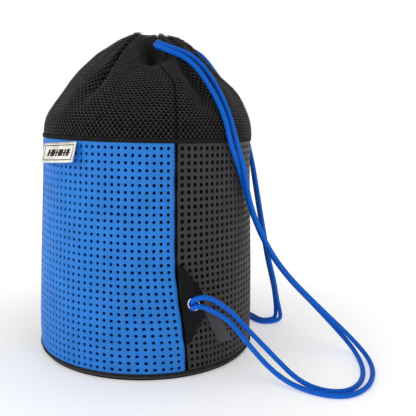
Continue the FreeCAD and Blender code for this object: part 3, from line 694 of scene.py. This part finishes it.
def fold_depth(degrees, s):
    """How far the folds push the cloth in at a place, less how far the lobes between them rise."""
    depth = np.zeros(np.broadcast(degrees, s).shape)
    for top, low, width, deep, start, full in FOLDS:
        grow = smoothstep(s, start * MM, full * MM)
        middle = low + (top - low) * smoothstep(s, 40 * MM, 125 * MM)
        spread = width * (1.0 + 0.5 * (1 - smoothstep(s, 60 * MM, 120 * MM)))
        away = turned(degrees - middle) / spread
        depth += deep * MM * grow * (1.1 * np.exp(-away ** 2) - 0.24 * np.exp(-(away / 2.4) ** 2))
    depth = np.minimum(depth, (30 - 25.5 * smoothstep(s, 100 * MM, 120 * MM)) * MM)
    for slit in (-1, 179):               # the hollow beside each slit, where the drawcord comes out
        middle = slit - 4 - 5 * (1 - smoothstep(s, 84 * MM, SLIT_UP))
        along = bell(s - SLIT_UP - 2 * MM, 19 * MM)
        depth += SLIT_HOLLOW * along * bell(turned(degrees - middle), 12.0)
    for middle, width, deep, start, full, fade, gone in BROAD:
        depth += deep * MM * bell(turned(degrees - middle), width) \
            * smoothstep(s, start * MM, full * MM) * (1 - smoothstep(s, fade * MM, gone * MM))
    for waves, grow in ((RIPPLES, smoothstep(s, 98 * MM, 128 * MM)),
                        (DRAPE, smoothstep(s, 6 * MM, 40 * MM))):
        depth += grow * MM * sum(deep * np.sin(np.radians(degrees) * number + climb * s + phase)
                                 for deep, number, climb, phase in waves)
    return depth


LEAN = 4.2 * MM
SEAM_DRAWN = 8.0                         # degrees that the gather pulls each side seam over


def top_point(degrees, s, inward=0.0):
    """A point of the folded top, with the gather leaning a little to the wearer's side."""
    degrees, s = np.broadcast_arrays(np.asarray(degrees, float), np.asarray(s, float))
    r, z, out, rise = shoulder(s)
    seam = 1.0 * MM * (bell(turned(degrees), 0.9) + bell(turned(degrees - 180), 0.9))
    depth = fold_depth(degrees, s) + inward + seam * (1 - smoothstep(s, 95 * MM, 115 * MM))
    depth = np.minimum(depth, 0.5 * r + 2 * MM)
    radius = np.maximum(r - depth * out, 4 * MM)
    height = z - depth * rise
    lean = LEAN * smoothstep(height, 0.25, 0.32)
    drawn = SEAM_DRAWN * smoothstep(s, 58 * MM, 95 * MM)
    a = np.radians(degrees - drawn * (bell(turned(degrees), 45) + bell(turned(degrees - 180), 45)))
    return np.stack([radius * np.cos(a) + 0.32 * lean, radius * np.sin(a) + 0.95 * lean, height], -1)


def pressed_by_cords(points, room):
    """Where a strand lies on the cloth, the cloth gives way to it."""
    moved = points.copy()
    middle = np.array([0.0, 0.0, 0.27])
    for i, p in enumerate(points):
        near, _, distance = strand_tree.find(Vector(p))
        if distance >= room + 5 * MM:
            continue
        inward = (middle - p) / np.linalg.norm(middle - p)
        side = (np.array(p) - np.array(near)).dot(inward)
        wanted = math.sqrt(max(room ** 2 - (distance ** 2 - side ** 2), 0.0))
        if (side > 0 or distance < room) and side < wanted:
            moved[i] = p + inward * (wanted - side)
    return moved


NET_ROWS, NET_COLUMNS = 52, 74
OPEN_WIDE, OPEN_HIGH = 0.39 * 1.05, 0.235 * 1.15      # half-sizes of an opening in those units
NET_START = 1.0 * MM                     # both distances up from the seam band
NET_END = SHOULDER_LENGTH - 12 * MM
CORD_ROOM = CORD_RADIUS + 0.7 * MM       # the cloth keeps this far from a strand's middle


def mesh_cloth(name, start, end):
    """Half of the spacer mesh: a net of hexagonal openings, knitted yarn rising between them. In
    net coordinates the openings of a row are 1 apart along u, and the rows 2/3 apart along v."""
    step_round = (end - start) / NET_COLUMNS
    step_up = (NET_END - NET_START) / NET_ROWS * 1.5
    faces = []
    corner_index = {}
    corners = []
    hexagon = [(0.5, 1 / 6), (0.0, 1 / 3), (-0.5, 1 / 6), (-0.5, -1 / 6), (0.0, -1 / 3), (0.5, -1 / 6)]
    rng = random.Random(name)

    def inside(u):
        return min(max(u, 0), NET_COLUMNS)

    def corner(u, v):
        key = (round(u * 2), round(v * 6))
        if key not in corner_index:
            corner_index[key] = len(corners)
            corners.append((u, v))
        return corner_index[key]

    cells = []
    for i in range(NET_ROWS):
        for j in range(NET_COLUMNS + 1):
            u = j + 0.5 * (i % 2)
            if u > NET_COLUMNS + 0.01:
                continue
            v = i * 2 / 3
            cells.append((u, v, [corner(inside(u + du), v + dv) for du, dv in hexagon]))
    corners = np.array(corners)
    hole_u, hole_v = [], []
    for u, v, _ in cells:
        wide = OPEN_WIDE * rng.uniform(0.92, 1.06)
        high = OPEN_HIGH * rng.uniform(0.92, 1.06)
        for k in range(6):
            a = math.pi / 6 + k * math.pi / 3
            hole_u.append(inside(u + wide * math.cos(a)))
            hole_v.append(v + high * math.sin(a))

    def place(u, v, inward):
        s = NET_START + np.asarray(v) * step_up
        finer = np.clip(shoulder(s)[0] / (85 * MM), 0.25, 1)
        return top_point(start + np.asarray(u) * step_round, s, inward * finer)

    points = np.concatenate([place(corners[:, 0], corners[:, 1], -0.35 * MM),
                             place(hole_u, hole_v, 0.15 * MM), place(hole_u, hole_v, 1.2 * MM)])
    for n, (_, _, ring) in enumerate(cells):
        for k in range(6):
            m = (k + 1) % 6
            a, b = ring[k], ring[m]
            c, d = len(corners) + 6 * n + m, len(corners) + 6 * n + k
            if a != b:
                faces.append((a, b, c, d))
            faces.append((d, c, c + 6 * len(cells), d + 6 * len(cells)))
    piece = add_mesh(name, pressed_by_cords(points, CORD_ROOM), faces, mesh_yarn)
    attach(piece, "bag")
    return piece


def cloth_backing(name, start, end, low, high, inward, material, columns=260, rows=150):
    """A plain cloth that follows the top's folds at a distance inside them."""
    degrees = np.linspace(start, end, columns)
    s = np.linspace(low, high, rows)
    points = top_point(degrees[None], s[:, None], inward).reshape(-1, 3)
    points = pressed_by_cords(points, CORD_ROOM + inward)
    piece = add_mesh(name, points, grid_faces(rows, columns), material)
    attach(piece, "bag")
    return piece


front_mesh = mesh_cloth("mesh_top_front_net", -180, 0)
back_mesh = mesh_cloth("mesh_top_back_net", 0, 180)
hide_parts("mesh_top_front")
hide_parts("mesh_top_back")
front_cloth = cloth_backing("mesh_top_front_backing", -180, 0, 0.0, SHOULDER_LENGTH, 1.7 * MM, mesh_back)
back_cloth = cloth_backing("mesh_top_back_backing", 0, 180, 0.0, SHOULDER_LENGTH, 1.7 * MM, mesh_back)

# The hem that the drawcords run in: the same cloth turned in, and a drawcord inside it.
for label, start, end in (("front", -172.5, -7.5), ("back", 7.5, 172.5)):
    hem = cloth_backing(f"casing_{label}_hem", start, end, SLIT_UP, SHOULDER_LENGTH - 4 * MM,
                        9.0 * MM, hem_cloth, columns=160, rows=40)
    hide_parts(f"casing_{label}")
RING_DEEP = 7.4 * MM                     # how far inside the mesh a drawcord runs
for label, s, slit, mirror in (("right", 122 * MM, 0, 1), ("left", 136 * MM, 180, -1)):
    ring = list(top_point(np.arange(slit + 24, slit + 326, 8), s, RING_DEEP))
    inward = np.array([-0.75 * mirror, 0.6 * mirror, -0.28])
    inward /= np.linalg.norm(inward)
    ends = [[centre_lines[f"{label}_strap_strand_{strand}"][0] + inward * d * MM
             for d in (0, 8, 16, 25)] for strand in "ab"]
    way = ends[0] + ring + ends[1][::-1]
    drawcord = braided_tube(f"drawcord_{label}_braid", smooth_line([p / MM for p in way]),
                            CORD_RADIUS * 0.94)
    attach(drawcord, "bag")
    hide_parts(f"drawcord_ring_{label}")


def lathe(name, profile, material, steps=300, wobble=None):
    """A ring turned about Z from a closed profile of radius and height."""
    profile = np.array(profile)
    count = len(profile)
    a = np.arange(steps) / steps * math.tau
    radius = np.tile(profile[:, 0], (steps, 1))
    if wobble is not None:
        radius = radius + wobble(np.degrees(a))[:, None]
    points = np.stack([radius * np.cos(a)[:, None], radius * np.sin(a)[:, None],
                       np.tile(profile[:, 1], (steps, 1))], -1)
    faces = [(p, r_up, q_up, q) for p, q, q_up, r_up in grid_faces(steps, count, wrap=True, close=True)]
    piece = add_mesh(name, points.reshape(-1, 3), faces, material)
    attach(piece, "bag")
    return piece


def rounded(inner, outer, low, high, corner):
    """A closed ring section with its outer corners rounded."""
    arc = np.linspace(0, math.pi / 2, 5)
    middle = outer - corner
    lower = [(middle + corner * math.sin(t), low + corner - corner * math.cos(t)) for t in arc]
    upper = [(middle + corner * math.cos(t), high - corner + corner * math.sin(t)) for t in arc]
    return [(inner, low)] + lower + upper + [(inner, high)]


BAND_HIGH = 245.6 * MM
BAND_GROOVE = wall_top + 1.4 * MM        # where the band's seam sinks into it
band_profile = [(mouth_radius - 3 * MM, wall_top + 0.2 * MM),
                (mouth_radius + 0.2 * MM, wall_top - 0.6 * MM)]
for i, z in enumerate(np.linspace(wall_top - 0.6 * MM, BAND_HIGH, 22)):
    ribs = 0.5 * MM * math.sin(i / 21 * math.pi) + 0.25 * MM * (i % 2)
    groove = 0.8 * MM * float(bell(z - BAND_GROOVE, 0.7 * MM))
    band_profile.append((mouth_radius + 0.45 * MM + ribs - groove, z))
band_profile.append((mouth_radius - 3 * MM, BAND_HIGH))


def band_waves(degrees):
    """How unevenly a sewn tape runs round the bag."""
    a = np.radians(degrees)
    return 0.14 * MM * np.sin(a * 31) + 0.12 * MM * np.sin(a * 17)


band = lathe("seam_band_ribbed", band_profile, hem_cloth, wobble=band_waves)
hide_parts("seam_band")
band_stitches = []
STITCHES = 190
for i in range(STITCHES):
    ways = [np.array([math.cos(t), math.sin(t), 0])
            for t in (i * math.tau / STITCHES, (i + 0.62) * math.tau / STITCHES)]
    ends = [way * (mouth_radius + 0.2 * MM) + np.array([0, 0, BAND_GROOVE]) for way in ways]
    band_stitches.append((*ends, ways[0]))
stitch_row("seam_band_stitches", band_stitches, thread_dark, thickness=0.7 * MM)

# The mesh halves meet in a narrow bound seam above each side seam.
for label, middle in (("right", 0.4), ("left", 180.4)):
    bound = tape_strip(f"mesh_seam_{label}_binding", middle, 1.8, -0.25 * MM, mesh_back, 0.5 * MM,
                       92 * MM, steps=120, surface=top_point)

# ---------------------------------------------------------------- welt and binding at the floor

welt_low, welt_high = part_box("base_welt")
bead = rounded(welt_high[0] - 7 * MM, welt_high[0], welt_low[2] + 0.3 * MM, welt_high[2], 1.5 * MM)
welt = lathe("base_welt_bead", bead, welt_plastic, 256)
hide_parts("base_welt")
binding_low, binding_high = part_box("base_binding")
BINDING_TOP = 7.9 * MM
profile = [(body_radius - 1.2 * MM, binding_low[2])]
for i, z in enumerate(np.linspace(binding_low[2], BINDING_TOP, 14)):
    ribs = 0.14 * MM * (i % 2)
    swell = 0.5 * MM * math.sin(min(1.0, i / 11) * math.pi)
    profile.append((binding_high[0] - 0.45 * MM + swell + ribs, z))
profile.append((body_radius - 1.2 * MM, BINDING_TOP))
binding = lathe("base_binding_tape", profile, tape_cloth, wobble=band_waves)
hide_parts("base_binding")

# ---------------------------------------------------------------- small pieces on curved grounds


def plates(name, cuts, ground, material, body, flip=False):
    """Thin closed plates that follow a ground. Each cut is a grid of ground coordinates and the
    heights of the plate's underside and top over the ground."""
    points, faces = [], []
    count = 0
    for x, y, low, high in cuts:
        rows, columns = np.shape(x)
        points += [ground(x, y, high).reshape(-1, 3), ground(x, y, low).reshape(-1, 3)]
        size = rows * columns
        faces += grid_faces(rows, columns, first=count)
        faces += [f[::-1] for f in grid_faces(rows, columns, first=count + size)]
        border = (list(range(columns)) + [i * columns + columns - 1 for i in range(1, rows)]
                  + [(rows - 1) * columns + j for j in range(columns - 2, -1, -1)]
                  + [i * columns for i in range(rows - 2, 0, -1)])
        for a, b in zip(border, border[1:] + border[:1]):
            faces.append((count + b, count + a, count + size + a, count + size + b))
        count += 2 * size
    piece = add_mesh(name, np.concatenate(points), faces, material, flip)
    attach(piece, body)
    return piece


joints = {joint["name"]: joint for joint in frame["joints"]}

# ---------------------------------------------------------------- label

label_hinge = np.array(joints["label_hinge"]["pos_m"])
label_along = -np.array(joints["label_hinge"]["axis"])
label_out = np.array([label_hinge[0], label_hinge[1], 0]) / np.hypot(*label_hinge[:2])
LABEL_TILT = math.radians(15)
label_down = label_out * math.sin(LABEL_TILT) - np.array([0, 0, math.cos(LABEL_TILT)])
label_normal = label_out * math.cos(LABEL_TILT) + np.array([0, 0, math.sin(LABEL_TILT)])
LABEL_SKEW = math.radians(4.5)           # it was sewn on a little askew
LABEL_DROP = 2.2                         # millimetres, so that no corner lies above its hinge
LABEL_HALF, LABEL_LONG = 26.5, 21        # half its width, and its length down
label_along, label_down = (label_along * math.cos(LABEL_SKEW) - label_down * math.sin(LABEL_SKEW),
                           label_down * math.cos(LABEL_SKEW) + label_along * math.sin(LABEL_SKEW))


def label_point(x, y, lift):
    """x along the label, y down from its sewn edge, lift off its back, all in millimetres."""
    x, y, lift = np.broadcast_arrays(*(np.asarray(v, float) for v in (x, y, lift)))
    y = y + LABEL_DROP
    curl = 1.1 * (y / LABEL_LONG) ** 2 * (0.5 + 0.5 * (x / 26) ** 2) + 0.9 * (1 - np.cos(x / 26 * 1.4))
    out = lift + 0.35 + curl * 0.8
    return label_hinge + (x[..., None] * label_along + y[..., None] * label_down
                          + out[..., None] * label_normal) * MM


def label_plate(x0, x1, y0, y1, low, high, slant=0.0, nx=14, ny=8):
    """One cut for plates: nx by ny points from x0 to x1 and y0 to y1, its upper edges eased."""
    x, y = np.meshgrid(np.linspace(x0, x1, nx), np.linspace(y0, y1, ny))
    x = x + slant * (y - y0)
    edge = np.ones((ny, nx))
    edge[1:-1, 1:-1] = 0
    return x, y, low, high - 0.18 * edge


backing = plates("label_flap_cloth",
                 [label_plate(-LABEL_HALF, LABEL_HALF, 0, LABEL_LONG, 0.0, 1.0, nx=44, ny=20)],
                 label_point, label_cloth, "label_flap")
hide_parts("label_backing", "label_face")
# A border line inside the edge, and a mark that is only bars with a line through them.
LINE, SIDE, UPPER, LOWER = 0.85, 24.2, 2.6, 18.6
frame_line = [label_plate(*box, 0.7, 1.22, nx=nx, ny=ny) for box, nx, ny in (
    ((-SIDE, SIDE, UPPER, UPPER + LINE), 34, 3), ((-SIDE, SIDE, LOWER - LINE, LOWER), 34, 3),
    ((-SIDE, -SIDE + LINE, UPPER, LOWER), 3, 14), ((SIDE - LINE, SIDE, UPPER, LOWER), 3, 14))]
bars = [label_plate(x, x + wide, 7.2, 14.2, 0.7, 1.26, slant=-0.28, nx=5, ny=6)
        for x, wide in ((-16.5, 3.2), (-11.6, 6.4), (-3.6, 2.4), (0.6, 7.6), (9.9, 3.0), (14.4, 4.8))]
bars.append(label_plate(-17.5, 19.6, 10.1, 11.3, 0.7, 1.24, slant=-0.28, nx=24, ny=3))
mark = plates("label_generic_mark", frame_line + bars, label_point, label_black, "label_flap")
label_stitches = [(label_point(x, 1.1, 1.05), label_point(x + 1.5, 1.1, 1.05), label_normal)
                  for x in np.arange(-25, 24.5, 2.2)]
stitch_row("label_stitches", label_stitches, thread_dark, body="label_flap", thickness=0.35 * MM)

# ---------------------------------------------------------------- tabs, eyelets, knots

# All in millimetres: u out from the seam, v up, and n off the tab's face.
TAB_LEAN = math.radians(38)              # the plane of a tab, from the wearer's direction
TAB_OUTLINE = [(1, 0), (4, 0), (24.5, 31), (24.5, 57), (1, 87)]
TAB_ROUNDING = 4.0
EYELET = (14.0, 44.0)
BORE = 4.7
EDGE = 5.0                               # width of the bound edge, measured in from the outline
SEWN_EDGE = 8.0                          # nearer the seam than this the tab shows no stitches


def tab_reach(angles):
    """Distance from the eyelet's middle to the tab's outline in each direction. The outline's
    corners are cut by curves that touch both sides."""
    outline = []
    corners = np.array(TAB_OUTLINE, float)
    for i, corner in enumerate(corners):
        before = corners[i - 1] - corner
        after = corners[(i + 1) % len(corners)] - corner
        reach = min(TAB_ROUNDING, 0.45 * np.linalg.norm(before), 0.45 * np.linalg.norm(after))
        a = corner + before / np.linalg.norm(before) * reach
        b = corner + after / np.linalg.norm(after) * reach
        outline += [(1 - t) ** 2 * a + 2 * t * (1 - t) * corner + t * t * b
                    for t in np.linspace(0, 1, 7)]
    dense = []
    for a, b in zip(outline, np.roll(outline, -1, axis=0)):
        dense += [a + (b - a) * t for t in np.linspace(0, 1, 24, endpoint=False)]
    away = np.array(dense) - EYELET
    turn = np.arctan2(away[:, 1], away[:, 0])
    order = np.argsort(turn)
    return np.interp(angles, turn[order], np.linalg.norm(away, axis=1)[order], period=math.tau)


def tab_ground(side):
    """What turns tab coordinates into places, and the way off the tab's face."""
    hinge = joints[f"{side}_tab_hinge"]
    base = np.array(hinge["pos_m"])
    up = np.array(hinge["axis"]) * math.copysign(1, hinge["axis"][2])
    mirror = 1 if side == "right" else -1
    flat = np.array([mirror * math.sin(TAB_LEAN), math.cos(TAB_LEAN), 0])
    out = flat - up * flat.dot(up)
    out /= np.linalg.norm(out)
    normal = np.cross(out, up) * mirror

    def ground(u, v, n):
        u, v, n = np.broadcast_arrays(*(np.asarray(x, float)[..., None] for x in (u, v, n)))
        return base + (u * out + v * up + n * normal) * MM

    return ground, normal


def tab_plate(name, ground, flip):
    """The tab: two cloth layers bound together at the edge, with a bore for the eyelet."""
    angles = np.linspace(-math.pi, math.pi, 121)[:-1]
    far = tab_reach(angles)
    inset = (0, 0.15, 0.5, 1.1, 2.0, 2.5, 3.0, 3.6, EDGE)
    lift = (0.35, 0.85, 1.25, 1.48, 1.45, 1.1, 1.42, 1.4, 1.38)
    rings = [(far - i, h) for i, h in zip(inset, lift)]
    rings += [(BORE + (far - EDGE - BORE) * t, lift[-1]) for t in (0.75, 0.5, 0.25, 0.0)]
    front, back = [], []
    for r, h in rings:
        r = np.maximum(r, BORE)
        u = EYELET[0] + r * np.cos(angles)
        v = EYELET[1] + r * np.sin(angles)
        creases = 0.16 * np.sin(u * 0.55 + v * 0.21) * smoothstep(r, 8, 14) \
            + 0.12 * np.sin(v * 0.33 - u * 0.4)
        front.append(ground(u, v, h + creases * smoothstep(far - r, 0.5, 3)))
        back.append(ground(u, v, -h + creases * 0.5))
    faces = [(p, r_up, q_up, q) for p, q, q_up, r_up in
             grid_faces(2 * len(rings), len(angles), wrap=True, close=True)]
    return add_mesh(name, np.concatenate(front + back[::-1]), faces, tab_cloth, flip)


def rolled_eyelet(name, ground, flip, steps=72):
    """The eyelet and its washer as one rolled ring."""
    angles = np.arange(steps) / steps * math.tau
    points = [ground(EYELET[0] + r * np.cos(angles), EYELET[1] + r * np.sin(angles), n)
              for r, n in EYELET_PROFILE]
    faces = grid_faces(len(EYELET_PROFILE), steps, wrap=True, close=True)
    return add_mesh(name, np.concatenate(points), faces, eyelet_metal, flip)


def tab_stitches(ground, normal, inset, first, last, pitch=2.6):
    """Stitches along the tab's outline, set in from its edge, over a share of its way round."""
    angles = np.linspace(-math.pi, math.pi, 721)
    far = tab_reach(angles) - inset
    line = np.stack([EYELET[0] + far * np.cos(angles), EYELET[1] + far * np.sin(angles)], -1)
    along = length_along(line)
    places = []
    for d in np.arange(first * along[-1], last * along[-1] - pitch, pitch):
        ends = []
        for x in (d, d + 0.68 * pitch):
            u, v = (float(np.interp(x, along, line[:, i])) for i in range(2))
            ends.append(ground(u, v, 1.5))
        if u > SEWN_EDGE:
            places.append((*ends, normal))
    return places


def trefoil(ground):
    """An overhand knot pulled tight behind the tab."""
    t = np.linspace(0, math.tau, 260)
    u = 16 + 1.45 * (np.sin(t) + 1.7 * np.sin(2 * t))
    v = EYELET[1] + 1.85 * (np.cos(t) - 1.7 * np.cos(2 * t))
    n = -7.3 - 2.3 * np.sin(3 * t)
    return ground(u, v, n)


# Distance from the eyelet's middle and off the tab's face.
EYELET_PROFILE = [(4.55, -1.9), (4.5, 0.5), (4.7, 1.6), (5.1, 2.25), (5.7, 2.55), (6.3, 2.4),
                  (6.8, 1.9), (6.9, 1.45), (6.2, 1.3), (5.0, 1.2), (5.0, -1.3), (6.6, -1.4),
                  (6.8, -1.7), (6.6, -2.0), (5.2, -2.15)]
# The way of a strand's end through the eyelet to its knot: u, how far from the middle, and n.
THROUGH = [(14, 1, 3.4), (14, 0.95, 2.4), (14, 0.78, 0.8), (14, 0.74, -1.4), (14.6, 0.8, -3.4),
           (15.4, 0.9, -5.4)]
for side in ("right", "left"):
    ground, normal = tab_ground(side)
    flip = side == "left"
    body = f"{side}_tab"
    plate = tab_plate(f"{side}_tab_cloth", ground, flip)
    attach(plate, body)
    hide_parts(f"{side}_tab_outer", f"{side}_tab_inner")
    eyelet = rolled_eyelet(f"{side}_eyelet_rolled", ground, flip)
    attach(eyelet, body)
    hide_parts(f"{side}_eyelet", f"{side}_eyelet_washer")
    stitches = tab_stitches(ground, normal, 2.5, 0.0, 1.0)
    stitches += tab_stitches(ground, normal, 4.6, 0.55, 0.80)
    stitch_row(f"{side}_tab_stitches", stitches, thread_dark, body=body, thickness=0.4 * MM)
    for label, apart in (("a", -2.95), ("b", 2.95)):
        way = np.array([ground(u, EYELET[1] + apart * share, n) for u, share, n in THROUGH])
        stub = braided_tube(f"{side}_cord_through_eyelet_{label}", evenly(way, 0.5 * MM), 2.2 * MM)
        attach(stub, body)
    knot = braided_tube(f"{side}_cord_knot_tied", evenly(trefoil(ground), 0.8 * MM), 2.35 * MM)
    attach(knot, body)
    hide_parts(f"{side}_cord_knot")

# ---------------------------------------------------------------- wear patches on the wall


def patch_leg(left_edge, right_edge, rise):
    """A tongue of the patch between two edges given as (degrees, height) from top to bottom."""
    t = np.linspace(0, 1, 26)
    sides = []
    for edge in (left_edge, right_edge):
        edge = np.array(edge, float)
        at = np.linspace(0, 1, len(edge))
        sides.append(np.stack([np.interp(t, at, edge[:, 0]), np.interp(t, at, edge[:, 1])], -1))
    w = np.linspace(0, 1, 11)[None]
    grid = sides[0][:, None] * (1 - w[..., None]) + sides[1][:, None] * w[..., None]
    roll = 0.55 * bell(w - 0.9, 0.1) - 0.15 * bell(w - 0.2, 0.12)
    edge_drop = 0.5 * ((w < 0.01) | (w > 0.99))
    return grid[..., 0], grid[..., 1], -0.25, np.broadcast_to(rise + roll - edge_drop, grid.shape[:2])


for side in ("right", "left"):
    def patch_ground(degrees, height, lift, side=side):
        turn = degrees if side == "right" else 180 - degrees
        return wall_point(turn, np.asarray(height) * MM, -np.asarray(lift, float) * MM)

    legs = [patch_leg([(13.6, 92), (15.6, 69), (19.6, 49), (24.0, 32)],
                      [(15.6, 93), (20.5, 69), (30.5, 40), (35.0, 27)], 0.75),
            patch_leg([(4.5, 98), (4.5, 80), (5.5, 60), (6.5, 46)],
                      [(7.5, 98), (10.5, 80), (11.5, 60), (9.0, 46)], 0.7)]
    patch = plates(f"{side}_wear_patch_sewn", legs, patch_ground, patch_cloth, "bag",
                   flip=side == "right")
    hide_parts(f"{side}_wear_patch")

# ---------------------------------------------------------------- carried-over pieces

CARRIED = {"base_disc": tape_cloth, "base_board": board_plastic, "base_foam_pad": foam_side}
for seam in ("side_seam_tape_right", "side_seam_tape_left", "front_seam_tape",
             "mesh_seam_tape_right", "mesh_seam_tape_left"):
    CARRIED[seam] = tape_cloth
for node, material in CARRIED.items():
    shown = frame["nodes"][node]
    for i in range(max(1, len(shown.material_slots))):
        if len(shown.data.materials) == 0:
            shown.data.materials.append(material)
        shown.material_slots[i].material = material

# ---------------------------------------------------------------- floor, light, world


def remapped(tree, value, low, high, at_low, at_high):
    """A shader value that goes from at_low to at_high while another goes from low to high."""
    node = tree.nodes.new("ShaderNodeMapRange")
    for socket, number in (("From Min", low), ("From Max", high), ("To Min", at_low),
                           ("To Max", at_high)):
        node.inputs[socket].default_value = number
    tree.links.new(value, node.inputs["Value"])
    return node.outputs["Result"]


floor_mesh = bpy.data.meshes.new("floor")
floor_mesh.from_pydata([(-6, -6, 0), (6, -6, 0), (6, 6, 0), (-6, 6, 0)], [], [(0, 1, 2, 3)])
floor = bpy.data.objects.new("floor", floor_mesh)
scene.collection.objects.link(floor)
pale = Nodes("floor_pale_glowing", (0.78, 0.78, 0.78), 0.8)
# the floor glows white: painted light from a surface that is no lamp
pale.shader.inputs["Emission Color"].default_value = (1, 1, 1, 1)
pale.colour(pale.noise(3, 2), [(0.2, (0.775,) * 3), (0.8, (0.785,) * 3)])
# The floor glows, weakly near the bag and more strongly away from it: painted shade round the bag, and
# painted light that keeps the far floor white.
distance = pale.tree.nodes.new("ShaderNodeVectorMath")
distance.operation = "LENGTH"
pale.link(pale.where, distance.inputs[0])
pale.link(remapped(pale.tree, distance.outputs["Value"], 0.14, 0.45, 0.34, 0.6),
          pale.shader.inputs["Emission Strength"])
floor_mesh.materials.append(pale.material)

world = bpy.data.worlds.new("studio")
world.use_nodes = True
# A white sweep all round, darker overhead.
sky = world.node_tree.nodes
facing = sky.new("ShaderNodeVectorMath")
facing.operation = "DOT_PRODUCT"
facing.inputs[1].default_value = (0, 0, 1)
link = world.node_tree.links.new
link(sky.new("ShaderNodeTexCoord").outputs["Generated"], facing.inputs[0])
link(remapped(world.node_tree, facing.outputs["Value"], 0.25, 0.65, 1.02, 0.35),
     sky["Background"].inputs["Strength"])
sky["Background"].inputs["Color"].default_value = (1, 1, 1, 1)
scene.world = world


def area_light(name, place, aim, size, power):
    lamp = bpy.data.lights.new(name, "AREA")
    lamp.shape = "RECTANGLE"
    lamp.size, lamp.size_y = size
    lamp.energy = power
    holder = bpy.data.objects.new(name, lamp)
    holder.location = place
    holder.rotation_euler = (Vector(aim) - Vector(place)).to_track_quat("-Z", "Y").to_euler()
    scene.collection.objects.link(holder)


area_light("key", (0.5, -1.45, 0.8), (0, 0, 0.18), (0.9, 1.2), 7)
area_light("fill", (1.3, 0.75, 0.6), (0, 0, 0.2), (0.7, 1.1), 1.5)
area_light("top", (0.1, 0.1, 1.7), (0, 0, 0.2), (1.4, 1.4), 5)
scene.view_settings.view_transform = "Standard"
